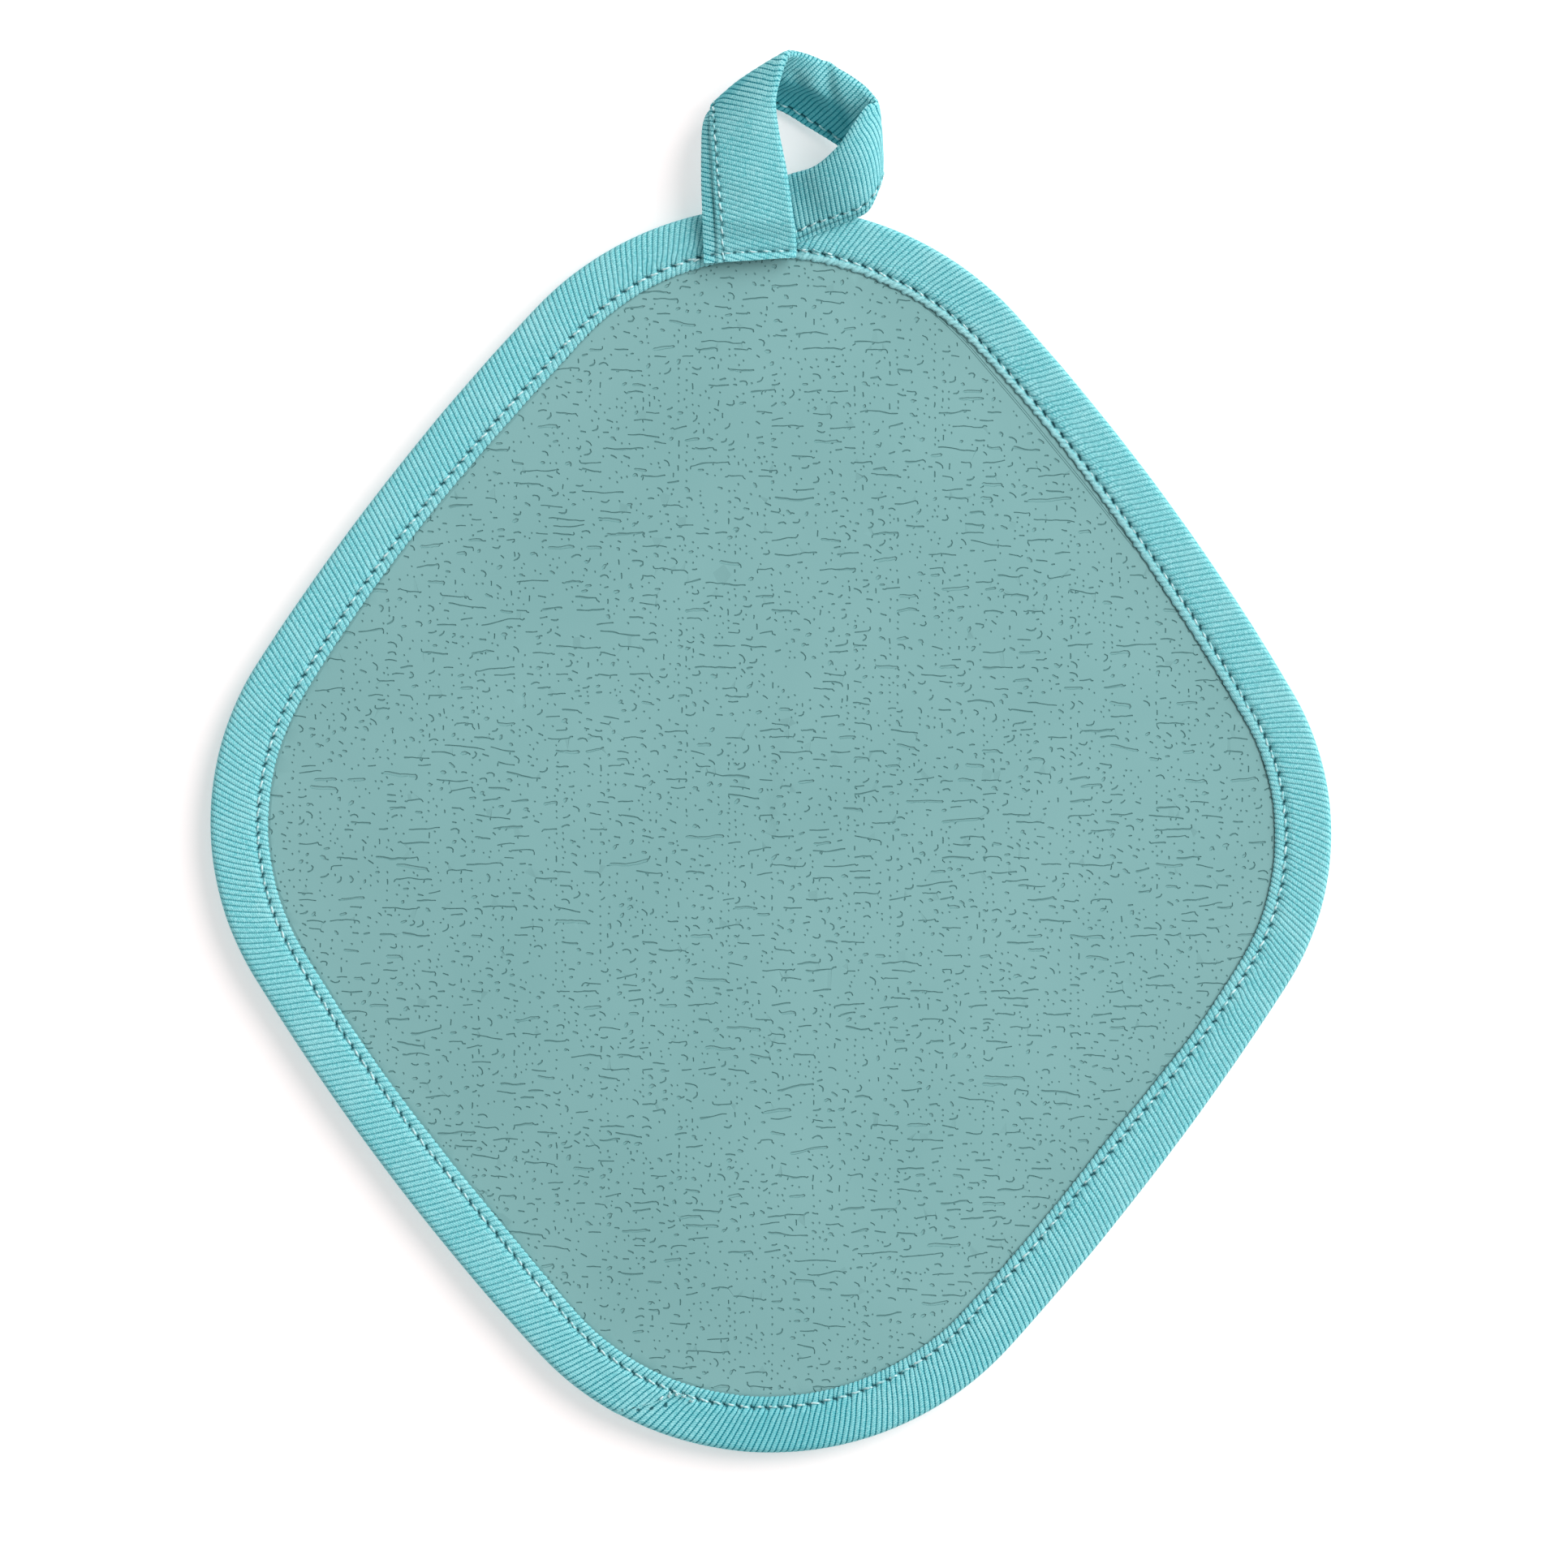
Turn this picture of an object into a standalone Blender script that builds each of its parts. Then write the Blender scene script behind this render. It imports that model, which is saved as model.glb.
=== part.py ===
"""Pot holder with a silicone face, modelled lying on its padded cloth back.

The body is a square set on its corner, with wide round corners and slightly bowed sides. A moulded
silicone sheet covers the padded back, a folded twill strip binds both along the rim, and a folded
twill strap makes the hanging loop at the top corner. Sizes below are in millimetres and become
metres when a mesh is made. The origin is under the middle of the body, on the surface it rests on,
+Y runs towards the hanging loop and +Z is up.
"""

import bisect
import math

import bmesh
import bpy

MM = 0.001
GAP = 0.3

# Outline of the bound body: four corner arcs, counter-clockwise, and the flatter arc after each.
CORNER_COLUMNS = ("corner", "centre_x", "centre_y", "radius", "next_side_radius")
CORNERS = (
    ("right", 50.8, -0.8, 50.8, 409.0),
    ("top", 0.4, 53.6, 59.3, 449.0),
    ("left", -48.3, 1.3, 53.2, 440.0),
    ("bottom", 0.1, -54.7, 58.2, 500.0),
)

# Visible width of the binding by the direction that its place has from the middle of the body.
BINDING_COLUMNS = ("place", "direction_deg", "width")
BINDING_WIDTHS = (
    ("right corner", 0.0, 10.2),
    ("upper right side, low", 22.0, 10.0),
    ("upper right side, high", 55.0, 9.2),
    ("right of the loop", 76.0, 9.7),
    ("under the loop", 90.0, 9.3),
    ("left of the loop", 100.0, 9.4),
    ("upper left side, high", 118.0, 10.3),
    ("upper left side, low", 148.0, 9.8),
    ("left corner", 174.0, 10.5),
    ("lower left side, high", 206.0, 9.9),
    ("lower left side, low", 234.0, 10.4),
    ("bottom corner, left", 253.0, 9.8),
    ("bottom corner, right", 288.0, 10.5),
    ("lower right side, low", 315.0, 10.5),
    ("lower right side, high", 337.0, 9.3),
)
UNDER_FLAP_SHORTER = 0.4
STITCH_ROW_IN = 1.9

# Silicone face: its top is level under the binding and swells to a low crown inside it.
FACE_THICKNESS = 1.3
FACE_RIM_TOP = 4.05
CROWN_RISE = 1.75
CROWN_START = 10.6
CROWN_REACH = 20.0
WAVE_HEIGHT = 0.12
RIM_INSET = 2.7

# Padded back: flat where it rests, lifted at its rim so that the binding's lower flap fits under.
BACK_RIM_BOTTOM = 1.2
BACK_RISE_COLUMNS = ("inset", "height")
BACK_RISE = ((11.0, 1.2), (12.6, 0.6), (14.2, 0.15), (15.8, 0.0))

# Binding join, where one end of the strip laps over the other at the lower left.
JOIN_OUTER_DEG = 242.0
JOIN_SLANT = 12.0
JOIN_LAP = 10.0
JOIN_FADE = 9.0
JOIN_LIFT = 0.6

# Hanging loop: the strap's open, stitched edge and its folded edge, from the end sewn on top,
# up the left strand, over the first fold, along the top, back over the second fold and down the
# right strand to the end sewn underneath. bow is how far the middle stands off a straight width,
# and ledge is how far the lower layer stands out past the upper one along the open edge.
STRAP_THICKNESS = 1.4
STRAP_COLUMNS = (
    "place", "open_x", "open_y", "open_z", "fold_x", "fold_y", "fold_z", "bow", "ledge",
)
STRAP = (
    ("upper end", -12.1, 102.6, 8.1, 4.6, 103.7, 8.1, 0.0, 2.3),
    ("sewn row", -12.2, 105.6, 8.1, 4.7, 106.2, 8.3, 0.1, 2.3),
    ("left strand on the binding", -12.4, 111.4, 8.3, 4.1, 111.6, 8.9, 0.4, 2.2),
    ("left strand low", -12.6, 117.4, 8.4, 3.0, 119.2, 10.1, 0.7, 2.0),
    ("left strand high", -12.6, 122.8, 8.1, 1.6, 126.4, 10.8, 0.8, 1.8),
    ("before the first fold", -12.5, 126.6, 7.2, 1.0, 132.0, 11.4, 0.8, 1.7),
    ("first fold, upper", -12.1, 128.7, 5.9, 2.0, 136.6, 11.6, 0.8, 1.5),
    ("first fold, outermost", -11.3, 129.9, 4.2, 3.3, 140.4, 11.0, 0.9, 1.2),
    ("first fold, lower", -9.5, 130.3, 2.5, 4.9, 140.9, 9.3, 0.2, 0.9),
    ("top strand, hidden start", -5.3, 130.8, 1.6, 7.4, 140.3, 9.0, -0.6, 0.7),
    ("top strand", 1.0, 130.6, 1.4, 10.7, 138.8, 9.2, -1.1, 0.6),
    ("top strand middle", 6.7, 127.4, 1.4, 14.0, 137.0, 9.5, -1.2, 0.6),
    ("top strand far", 12.3, 124.0, 1.6, 16.7, 135.1, 9.9, -0.9, 0.6),
    ("before the second fold", 16.8, 120.7, 2.3, 18.2, 133.5, 10.4, -0.4, 0.6),
    ("second fold, outermost", 19.4, 118.3, 4.0, 19.0, 131.8, 11.7, 0.3, 0.7),
    ("second fold, upper", 19.8, 116.6, 5.4, 17.4, 131.2, 12.9, 0.8, 0.8),
    ("right strand start", 19.0, 114.2, 6.3, 15.0, 127.9, 13.3, 1.3, 0.9),
    ("right strand", 17.2, 111.6, 6.6, 12.1, 123.8, 12.6, 1.5, 1.0),
    ("right strand low", 13.3, 110.0, 6.5, 8.0, 120.3, 10.6, 1.3, 1.0),
    ("right strand, going under", 8.4, 107.8, 6.45, 3.0, 118.6, 7.8, 0.5, 0.9),
    ("hidden, under the left strand", 3.8, 105.7, 6.4, -4.0, 115.4, 6.5, 0.0, 0.8),
    ("hidden turn", 0.6, 104.4, 6.4, -8.6, 111.0, 6.4, 0.0, 0.8),
    ("lower end", -1.6, 103.4, 6.4, -10.2, 105.2, 6.4, 0.0, 0.8),
)
STRAP_STEPS = 3

AROUND = 64
BINDING_STEP = 6.0
BINDING_FINE_STEP = 1.7

AQUA_SILICONE = (0.230, 0.445, 0.450, 1.0)
AQUA_TWILL = (0.215, 0.585, 0.620, 1.0)
AQUA_COTTON = (0.240, 0.560, 0.590, 1.0)


def clear_scene():
    for item in list(bpy.data.objects):
        bpy.data.objects.remove(item, do_unlink=True)


def cloth_material(name, colour, roughness):
    material = bpy.data.materials.new(name)
    material.use_nodes = True
    shader = material.node_tree.nodes["Principled BSDF"]
    shader.inputs["Base Color"].default_value = colour
    shader.inputs["Roughness"].default_value = roughness
    shader.inputs["Metallic"].default_value = 0.0
    return material


def side_centre(first, second, side_radius):
    """Centre of the large arc that touches two corner arcs from outside, on the body's inner side."""
    dx = second["x"] - first["x"]
    dy = second["y"] - first["y"]
    apart = math.hypot(dx, dy)
    reach_a = side_radius - first["radius"]
    reach_b = side_radius - second["radius"]
    along = (reach_a**2 - reach_b**2 + apart**2) / (2 * apart)
    across = math.sqrt(reach_a**2 - along**2)
    return (
        first["x"] + dx / apart * along - dy / apart * across,
        first["y"] + dy / apart * along + dx / apart * across,
    )


def outline_arcs():
    """The eight arcs of the outline, counter-clockwise, as centre, radius, start and end angle."""
    corners = [
        {"x": x, "y": y, "radius": radius, "side": side} for _, x, y, radius, side in CORNERS
    ]
    centres = [
        side_centre(corner, corners[(i + 1) % 4], corner["side"])
        for i, corner in enumerate(corners)
    ]
    arcs = []
    for i, corner in enumerate(corners):
        before = centres[i - 1]
        after = centres[i]
        following = corners[(i + 1) % 4]
        start = math.atan2(corner["y"] - before[1], corner["x"] - before[0])
        end = math.atan2(corner["y"] - after[1], corner["x"] - after[0])
        last = math.atan2(following["y"] - after[1], following["x"] - after[0])
        arcs.append(((corner["x"], corner["y"]), corner["radius"], start, (end - start) % math.tau))
        arcs.append((after, corner["side"], end, (last - end) % math.tau))
    return arcs


ARCS = outline_arcs()
ARC_LENGTHS = [radius * turn for _, radius, _, turn in ARCS]
PERIMETER = sum(ARC_LENGTHS)
ARC_STARTS = [sum(ARC_LENGTHS[:i]) for i in range(len(ARCS))]
BOTTOM_ARC = 6


def outline_at(distance, inset=0.0):
    """Point at this distance along the outline, moved inwards by the inset."""
    distance %= PERIMETER
    index = bisect.bisect_right(ARC_STARTS, distance) - 1
    centre, radius, start, _ = ARCS[index]
    angle = start + (distance - ARC_STARTS[index]) / radius
    return (
        centre[0] + (radius - inset) * math.cos(angle),
        centre[1] + (radius - inset) * math.sin(angle),
    )


def bottom_corner_distance(degrees):
    """Distance along the outline of the point in this direction from the bottom corner's centre."""
    _, radius, start, _ = ARCS[BOTTOM_ARC]
    return ARC_STARTS[BOTTOM_ARC] + radius * ((math.radians(degrees) - start) % math.tau)


def smooth(share):
    share = min(max(share, 0.0), 1.0)
    return share * share * (3 - 2 * share)


def binding_width(x, y):
    direction = math.degrees(math.atan2(y, x)) % 360
    rows = BINDING_WIDTHS + ((BINDING_WIDTHS[0][0], 360.0, BINDING_WIDTHS[0][2]),)
    for (_, low, width_low), (_, high, width_high) in zip(rows, rows[1:]):
        if low <= direction <= high:
            share = smooth((direction - low) / (high - low))
            return width_low + (width_high - width_low) * share
    return BINDING_WIDTHS[0][2]


OUTLINE_SAMPLES = [outline_at(PERIMETER * i / 720) for i in range(720)]


def inset_of(x, y):
    """How far a point inside the body is from its outline."""
    return min(math.hypot(x - a, y - b) for a, b in OUTLINE_SAMPLES)


def face_top(x, y, inset):
    """Height of the silicone's upper surface: level at the rim, a low uneven crown inside."""
    swell = 1 - math.exp(-((max(inset - CROWN_START, 0.0) / CROWN_REACH) ** 2))
    wave = math.sin(x / 17.0 + 0.7) * math.cos(y / 21.0 + 0.4)
    return FACE_RIM_TOP + swell * (CROWN_RISE + WAVE_HEIGHT * wave)


def body_ring(inset, share):
    """A ring of plan points: the outline moved in by the inset, then drawn to the middle."""
    points = [outline_at(PERIMETER * i / AROUND, inset) for i in range(AROUND)]
    return [(x * share, y * share) for x, y in points]


def finish_mesh(name, bm, colour, roughness):
    bmesh.ops.recalc_face_normals(bm, faces=bm.faces)
    mesh = bpy.data.meshes.new(name)
    bm.to_mesh(mesh)
    bm.free()
    for polygon in mesh.polygons:
        polygon.use_smooth = True
    mesh.set_sharp_from_angle(angle=math.radians(50))
    piece = bpy.data.objects.new(name, mesh)
    bpy.context.scene.collection.objects.link(piece)
    mesh.materials.append(cloth_material(name, colour, roughness))
    return piece


def loft(bm, rings, closed):
    """Quads between neighbouring rings of points. Open lofts end in flat caps."""
    loops = [
        [bm.verts.new((x * MM, y * MM, z * MM)) for x, y, z in ring] for ring in rings
    ]
    pairs = list(zip(loops, loops[1:]))
    if closed:
        pairs.append((loops[-1], loops[0]))
    for lower, upper in pairs:
        for i in range(len(lower)):
            j = (i + 1) % len(lower)
            bm.faces.new((lower[i], lower[j], upper[j], upper[i]))
    if not closed:
        bm.faces.new(loops[0])
        bm.faces.new(reversed(loops[-1]))
    return loops


def close_with_centre(bm, ring, x, y, z):
    middle = bm.verts.new((x * MM, y * MM, z * MM))
    for i in range(len(ring)):
        bm.faces.new((ring[i], ring[(i + 1) % len(ring)], middle))


# Rings that the face and the back share: inset from the outline, then share of the way in.
SHARED_RINGS = (
    (RIM_INSET, 1.0),
    (7.0, 1.0),
    (CROWN_START, 1.0),
    (15.0, 1.0),
    (20.0, 1.0),
    (28.0, 1.0),
    (28.0, 0.75),
    (28.0, 0.45),
    (28.0, 0.15),
)


def crowned_rings(drop):
    """The shared rings at the face's height, lowered by drop, from the rim to the middle."""
    rings = []
    for inset, share in SHARED_RINGS:
        ring = []
        for x, y in body_ring(inset, share):
            depth = inset if share == 1.0 else inset_of(x, y)
            ring.append((x, y, face_top(x, y, depth) - drop))
        rings.append(ring)
    return rings


def make_face_panel():
    """The moulded silicone sheet that covers the front, its rim held inside the binding."""
    top = crowned_rings(0.0)
    under = crowned_rings(FACE_THICKNESS)
    bm = bmesh.new()
    sheet = list(reversed(top)) + under
    loops = [[bm.verts.new((x * MM, y * MM, z * MM)) for x, y, z in ring] for ring in sheet]
    for outer, inner in zip(loops, loops[1:]):
        for i in range(AROUND):
            j = (i + 1) % AROUND
            bm.faces.new((outer[i], outer[j], inner[j], inner[i]))
    centre_depth = inset_of(0.0, 0.0)
    centre_top = face_top(0.0, 0.0, centre_depth)
    close_with_centre(bm, loops[0], 0.0, 0.0, centre_top)
    close_with_centre(bm, loops[-1], 0.0, 0.0, centre_top - FACE_THICKNESS)
    return finish_mesh("face_panel", bm, AQUA_SILICONE, 0.6)


def make_back_pad():
    """The padded cloth back: one filled body with a flat underside and a pinched rim."""
    top = crowned_rings(FACE_THICKNESS + GAP)
    bottom = [[(x, y, BACK_RIM_BOTTOM) for x, y in body_ring(RIM_INSET, 1.0)]]
    for inset, height in BACK_RISE:
        bottom.append([(x, y, height) for x, y in body_ring(inset, 1.0)])
    bm = bmesh.new()
    rings = list(reversed(top)) + bottom
    loops = [[bm.verts.new((x * MM, y * MM, z * MM)) for x, y, z in ring] for ring in rings]
    for outer, inner in zip(loops, loops[1:]):
        for i in range(AROUND):
            j = (i + 1) % AROUND
            bm.faces.new((outer[i], outer[j], inner[j], inner[i]))
    centre_depth = inset_of(0.0, 0.0)
    centre_top = face_top(0.0, 0.0, centre_depth) - FACE_THICKNESS - GAP
    close_with_centre(bm, loops[0], 0.0, 0.0, centre_top)
    bm.faces.new(loops[-1])
    return finish_mesh("back_pad", bm, AQUA_COTTON, 0.9)


def binding_section(width):
    """The folded strip in cross-section, as inset, height, and the lap's share out and up.

    It runs from the upper flap's edge over the rim to the lower flap's edge, then back inside.
    The last two values say how much of the join's lift moves a point outwards and upwards.
    """
    row = width - STITCH_ROW_IN
    below = width - UNDER_FLAP_SHORTER
    outer = [
        (width, 4.95, 0.0, 1.0),
        (width - 0.8, 5.25, 0.0, 1.0),
        (row, 4.9, 0.0, 1.0),
        (width - 3.2, 5.25, 0.0, 1.0),
        (4.5, 5.4, 0.0, 1.0),
        (2.3, 5.25, 0.2, 1.0),
        (1.0, 4.7, 0.7, 0.7),
        (0.25, 3.8, 1.0, 0.3),
        (0.0, 2.7, 1.0, 0.0),
        (0.3, 1.5, 1.0, 0.0),
        (1.1, 0.45, 0.5, 0.0),
        (2.8, 0.0, 0.0, 0.0),
        (below, 0.0, 0.0, 0.0),
    ]
    inner = [
        (below, 0.85, 0.0, 0.0),
        (2.9, 0.9, 0.0, 0.0),
        (1.5, 1.6, 0.0, 0.0),
        (1.0, 2.7, 0.0, 0.0),
        (1.5, 3.8, 0.0, 0.0),
        (2.9, 4.4, 0.0, 0.0),
        (row, 4.38, 0.0, 0.0),
        (width, 4.4, 0.0, 0.0),
    ]
    return outer + inner


JOIN_DISTANCE = bottom_corner_distance(JOIN_OUTER_DEG)


def join_lift(distance, inset, width):
    """Height of the overlapping end: it stops on a slant and fades out behind the lap."""
    edge = JOIN_DISTANCE + JOIN_SLANT * inset / width
    behind = edge - distance
    if behind < 0 or behind > JOIN_LAP + JOIN_FADE:
        return 0.0
    rise = smooth(behind / BINDING_FINE_STEP)
    fade = 1 - smooth((behind - JOIN_LAP) / JOIN_FADE)
    return JOIN_LIFT * rise * fade


def binding_stations():
    """Distances along the outline, closer together at the join."""
    fine_start = JOIN_DISTANCE - JOIN_LAP
    fine_end = JOIN_DISTANCE + JOIN_SLANT + BINDING_FINE_STEP
    fine = round((fine_end - fine_start) / BINDING_FINE_STEP)
    coarse = round((PERIMETER - (fine_end - fine_start)) / BINDING_STEP)
    stations = [fine_start + (fine_end - fine_start) * i / fine for i in range(fine)]
    rest = PERIMETER - (fine_end - fine_start)
    stations += [fine_end + rest * i / coarse for i in range(coarse)]
    return stations


def make_binding():
    """The twill strip folded over the rim, one closed ring with its lapped join."""
    rings = []
    for distance in binding_stations():
        width = binding_width(*outline_at(distance))
        ring = []
        for inset, height, out, up in binding_section(width):
            lift = join_lift(distance, inset, width)
            x, y = outline_at(distance, inset - out * lift)
            ring.append((x, y, height + up * lift))
        rings.append(ring)
    bm = bmesh.new()
    loft(bm, rings, closed=True)
    return finish_mesh("binding", bm, AQUA_TWILL, 0.85)


def catmull_rom(before, start, end, after, share):
    """Value between start and end on a smooth curve through all four."""
    return 0.5 * (
        2 * start
        + (end - before) * share
        + (2 * before - 5 * start + 4 * end - after) * share**2
        + (3 * start - before - 3 * end + after) * share**3
    )


def strap_rows():
    """The strap's table with smooth steps between its rows."""
    values = [row[1:] for row in STRAP]
    last = len(values) - 1
    rows = []
    for i in range(last):
        nearby = (values[max(i - 1, 0)], values[i], values[i + 1], values[min(i + 2, last)])
        for step in range(STRAP_STEPS):
            share = step / STRAP_STEPS
            rows.append([catmull_rom(*four, share) for four in zip(*nearby)])
    rows.append(list(values[last]))
    return rows


def unit(vector):
    length = math.sqrt(sum(value * value for value in vector))
    return [value / length for value in vector]


def cross(a, b):
    return [
        a[1] * b[2] - a[2] * b[1],
        a[2] * b[0] - a[0] * b[2],
        a[0] * b[1] - a[1] * b[0],
    ]


def strap_section(ledge, width):
    """The strap's two layers in cross-section, as distance from the open edge and height."""
    half = STRAP_THICKNESS / 2
    return [
        (0.0, -half),
        (0.0, 0.0),
        (ledge, 0.0),
        (ledge + 0.1, half * 0.8),
        (ledge + 0.5, half),
        (width * 0.35, half),
        (width * 0.6, half),
        (width - 2.0, half),
        (width - 0.5, half * 0.85),
        (width, 0.0),
        (width - 0.5, -half * 0.85),
        (width - 2.0, -half),
        (width * 0.6, -half),
        (width * 0.35, -half),
    ]


def make_hanging_loop():
    """The strap, folded lengthwise and bent over twice, as one solid with two ends."""
    rows = strap_rows()
    middles = [[(row[i] + row[i + 3]) / 2 for i in range(3)] for row in rows]
    rings = []
    for index, row in enumerate(rows):
        open_edge = row[0:3]
        folded_edge = row[3:6]
        bow, ledge = row[6:8]
        across = [b - a for a, b in zip(open_edge, folded_edge)]
        width = math.sqrt(sum(value * value for value in across))
        across = unit(across)
        ahead = middles[min(index + 1, len(rows) - 1)]
        behind = middles[max(index - 1, 0)]
        along = unit([b - a for a, b in zip(behind, ahead)])
        facing = unit(cross(across, along))
        ring = []
        for offset, height in strap_section(ledge, width):
            share = offset / width
            raised = height + bow * 4 * share * (1 - share)
            ring.append([p + a * offset + f * raised for p, a, f in zip(open_edge, across, facing)])
        rings.append(ring)
    bm = bmesh.new()
    loft(bm, rings, closed=False)
    return finish_mesh("hanging_loop", bm, AQUA_TWILL, 0.85)


clear_scene()
make_back_pad()
make_face_panel()
make_binding()
make_hanging_loop()
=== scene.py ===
"""Looks of a pot holder with a moulded silicone face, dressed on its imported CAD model.

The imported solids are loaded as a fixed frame, and the script follows the pot holder as it is sewn:
the padded back, the silicone face, the twill binding with its stitched row, and the hanging loop.
Sizes are in millimetres and become metres when a mesh is made. Places are the model's own: the
middle of the body is the origin, +Y runs towards the loop and +Z is up.
"""

import math
import random

import bpy
import numpy as np
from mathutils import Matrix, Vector, kdtree, noise
from mathutils.geometry import delaunay_2d_cdt


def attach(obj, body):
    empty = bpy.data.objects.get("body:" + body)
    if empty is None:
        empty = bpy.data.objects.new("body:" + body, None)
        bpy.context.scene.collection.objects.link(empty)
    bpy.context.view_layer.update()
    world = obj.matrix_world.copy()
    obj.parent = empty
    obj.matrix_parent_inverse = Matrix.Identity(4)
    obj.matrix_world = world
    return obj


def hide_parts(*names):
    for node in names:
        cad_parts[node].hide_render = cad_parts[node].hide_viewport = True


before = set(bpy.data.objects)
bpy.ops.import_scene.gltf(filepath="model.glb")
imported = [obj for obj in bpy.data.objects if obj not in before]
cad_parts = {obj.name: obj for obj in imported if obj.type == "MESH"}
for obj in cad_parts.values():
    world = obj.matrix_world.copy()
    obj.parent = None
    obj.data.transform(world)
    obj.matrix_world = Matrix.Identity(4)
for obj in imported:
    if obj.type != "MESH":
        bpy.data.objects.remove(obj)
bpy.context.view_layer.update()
bpy.ops.object.select_all(action="DESELECT")


# ---- Padded back ----------------------------------------------------------------------------
# A cotton case over thin wadding, flat where it rests and pinched into the binding at its rim.
# Plain-woven cotton in the binding's colour, matt, with a slight unevenness from the wadding.

MM = 0.001
BACK_THREAD = 0.9  # real threads are 0.4 mm apart, too fine to show, so they are drawn coarser
BACK_UNEVEN = 0.12
BACK_UNEVEN_SIZE = 14.0
UNDERSIDE_BELOW = 1.1
RESTING_BELOW = 0.01


def linear(hex_colour):
    """Linear RGBA of an sRGB hex colour."""
    channels = [int(hex_colour[i : i + 2], 16) / 255 for i in (1, 3, 5)]
    curve = [c / 12.92 if c <= 0.04045 else ((c + 0.055) / 1.055) ** 2.4 for c in channels]
    return (*curve, 1.0)


def add_node(tree, kind, inputs=(), **settings):
    """Adds a node. Settings are its own options. Inputs go by name or in order, and are values, or
    sockets or nodes that are linked to it. A node stands for its first output in use."""
    node = tree.nodes.new("ShaderNode" + kind)
    for key, value in settings.items():
        setattr(node, key, value)
    for key, value in inputs.items() if isinstance(inputs, dict) else enumerate(inputs):
        if isinstance(value, bpy.types.Node):
            value = next(output for output in value.outputs if output.enabled)
        if isinstance(value, bpy.types.NodeSocket):
            tree.links.new(value, node.inputs[key])
        else:
            node.inputs[key].default_value = value
    return node


def new_material(name, roughness, sheen=0.0):
    """A material with its Principled shader, of one roughness and sheen all over."""
    material = bpy.data.materials.new(name)
    material.use_nodes = True
    shader = material.node_tree.nodes["Principled BSDF"]
    shader.inputs["Roughness"].default_value = roughness
    shader.inputs["Sheen Weight"].default_value = sheen
    shader.inputs["Sheen Roughness"].default_value = 0.5
    return material, material.node_tree, shader


def link_piece(name, vertices, faces, material, sharp_deg):
    """A mesh object from points in millimetres, smooth but for edges sharper than the angle."""
    mesh = bpy.data.meshes.new(name)
    mesh.from_pydata((np.asarray(vertices) * MM).tolist(), [], faces)
    mesh.polygons.foreach_set("use_smooth", [True] * len(mesh.polygons))
    mesh.set_sharp_from_angle(angle=math.radians(sharp_deg))
    mesh.materials.append(material)
    piece = bpy.data.objects.new(name, mesh)
    bpy.context.scene.collection.objects.link(piece)
    return piece


def add_values(piece, name, values, domain="POINT"):
    """Stores one number for each point or face of the mesh, for its material to read."""
    layer = piece.data.attributes.new(name, "FLOAT", domain)
    layer.data.foreach_set("value", np.asarray(values, np.float32).ravel())


def soft_noise(x, y, size, seed):
    """Smooth noise from -1 to 1 over the plan, with features of this size in millimetres."""
    points = zip(np.ravel(x) / size, np.ravel(y) / size)
    values = [noise.noise(Vector((a, b, seed))) for a, b in points]
    return np.array(values).reshape(np.shape(x))


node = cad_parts["back_pad"]
back_mesh = node.data.copy()
cotton_back = bpy.data.objects.new("cotton_back", back_mesh)
bpy.context.scene.collection.objects.link(cotton_back)
bpy.context.view_layer.objects.active = cotton_back
cotton_back.select_set(True)
bpy.ops.object.mode_set(mode="EDIT")
bpy.ops.mesh.select_all(action="SELECT")
bpy.ops.mesh.remove_doubles(threshold=0.01 * MM)
bpy.ops.mesh.tris_convert_to_quads()
bpy.ops.mesh.subdivide(number_cuts=3)
bpy.ops.object.mode_set(mode="OBJECT")
spots = np.array([v.co for v in back_mesh.vertices])
uneven = soft_noise(spots[:, 0] / MM, spots[:, 1] / MM, BACK_UNEVEN_SIZE, 3.0)
raised = BACK_UNEVEN * MM * (0.5 + 0.5 * uneven)
under = spots[:, 2] < UNDERSIDE_BELOW * MM
spots[under, 2] += raised[under] * (spots[under, 2] > RESTING_BELOW * MM)
back_mesh.vertices.foreach_set("co", spots.ravel())
bpy.ops.object.shade_smooth_by_angle(angle=math.radians(60))

# Plain-woven cotton: two sets of round threads that pass over and under each other, matt.
cotton, tree, shader = new_material("plain_woven_cotton", 0.92, sheen=0.15)
place = add_node(tree, "TexCoord").outputs["Object"]
thread_scale = (math.pi / BACK_THREAD / MM,) * 3
scaled = add_node(tree, "Mapping", {"Vector": place, "Scale": thread_scale})
axes = add_node(tree, "SeparateXYZ", [scaled])
across = [add_node(tree, "Math", [axes.outputs[axis]], operation="SINE") for axis in "XY"]
over = add_node(tree, "Math", across, operation="MULTIPLY")
fuzz = add_node(tree, "TexNoise", {"Vector": place, "Scale": 900.0, "Detail": 3.0})
weave = add_node(tree, "Math", (over, 0.5, fuzz), operation="MULTIPLY_ADD")
shades = add_node(tree, "ValToRGB", [weave])
dark_tone, light_tone = shades.color_ramp.elements
dark_tone.position, dark_tone.color = 0.1, linear("#4F969D")
light_tone.position, light_tone.color = 0.9, linear("#84C8CC")
tree.links.new(shades.outputs["Color"], shader.inputs["Base Color"])
relief = add_node(tree, "Bump", {"Height": weave, "Strength": 0.6, "Distance": 0.15 * MM})
tree.links.new(relief.outputs["Normal"], shader.inputs["Normal"])
back_mesh.materials.clear()
back_mesh.materials.append(cotton)

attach(cotton_back, "root")
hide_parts("back_pad")


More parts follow.
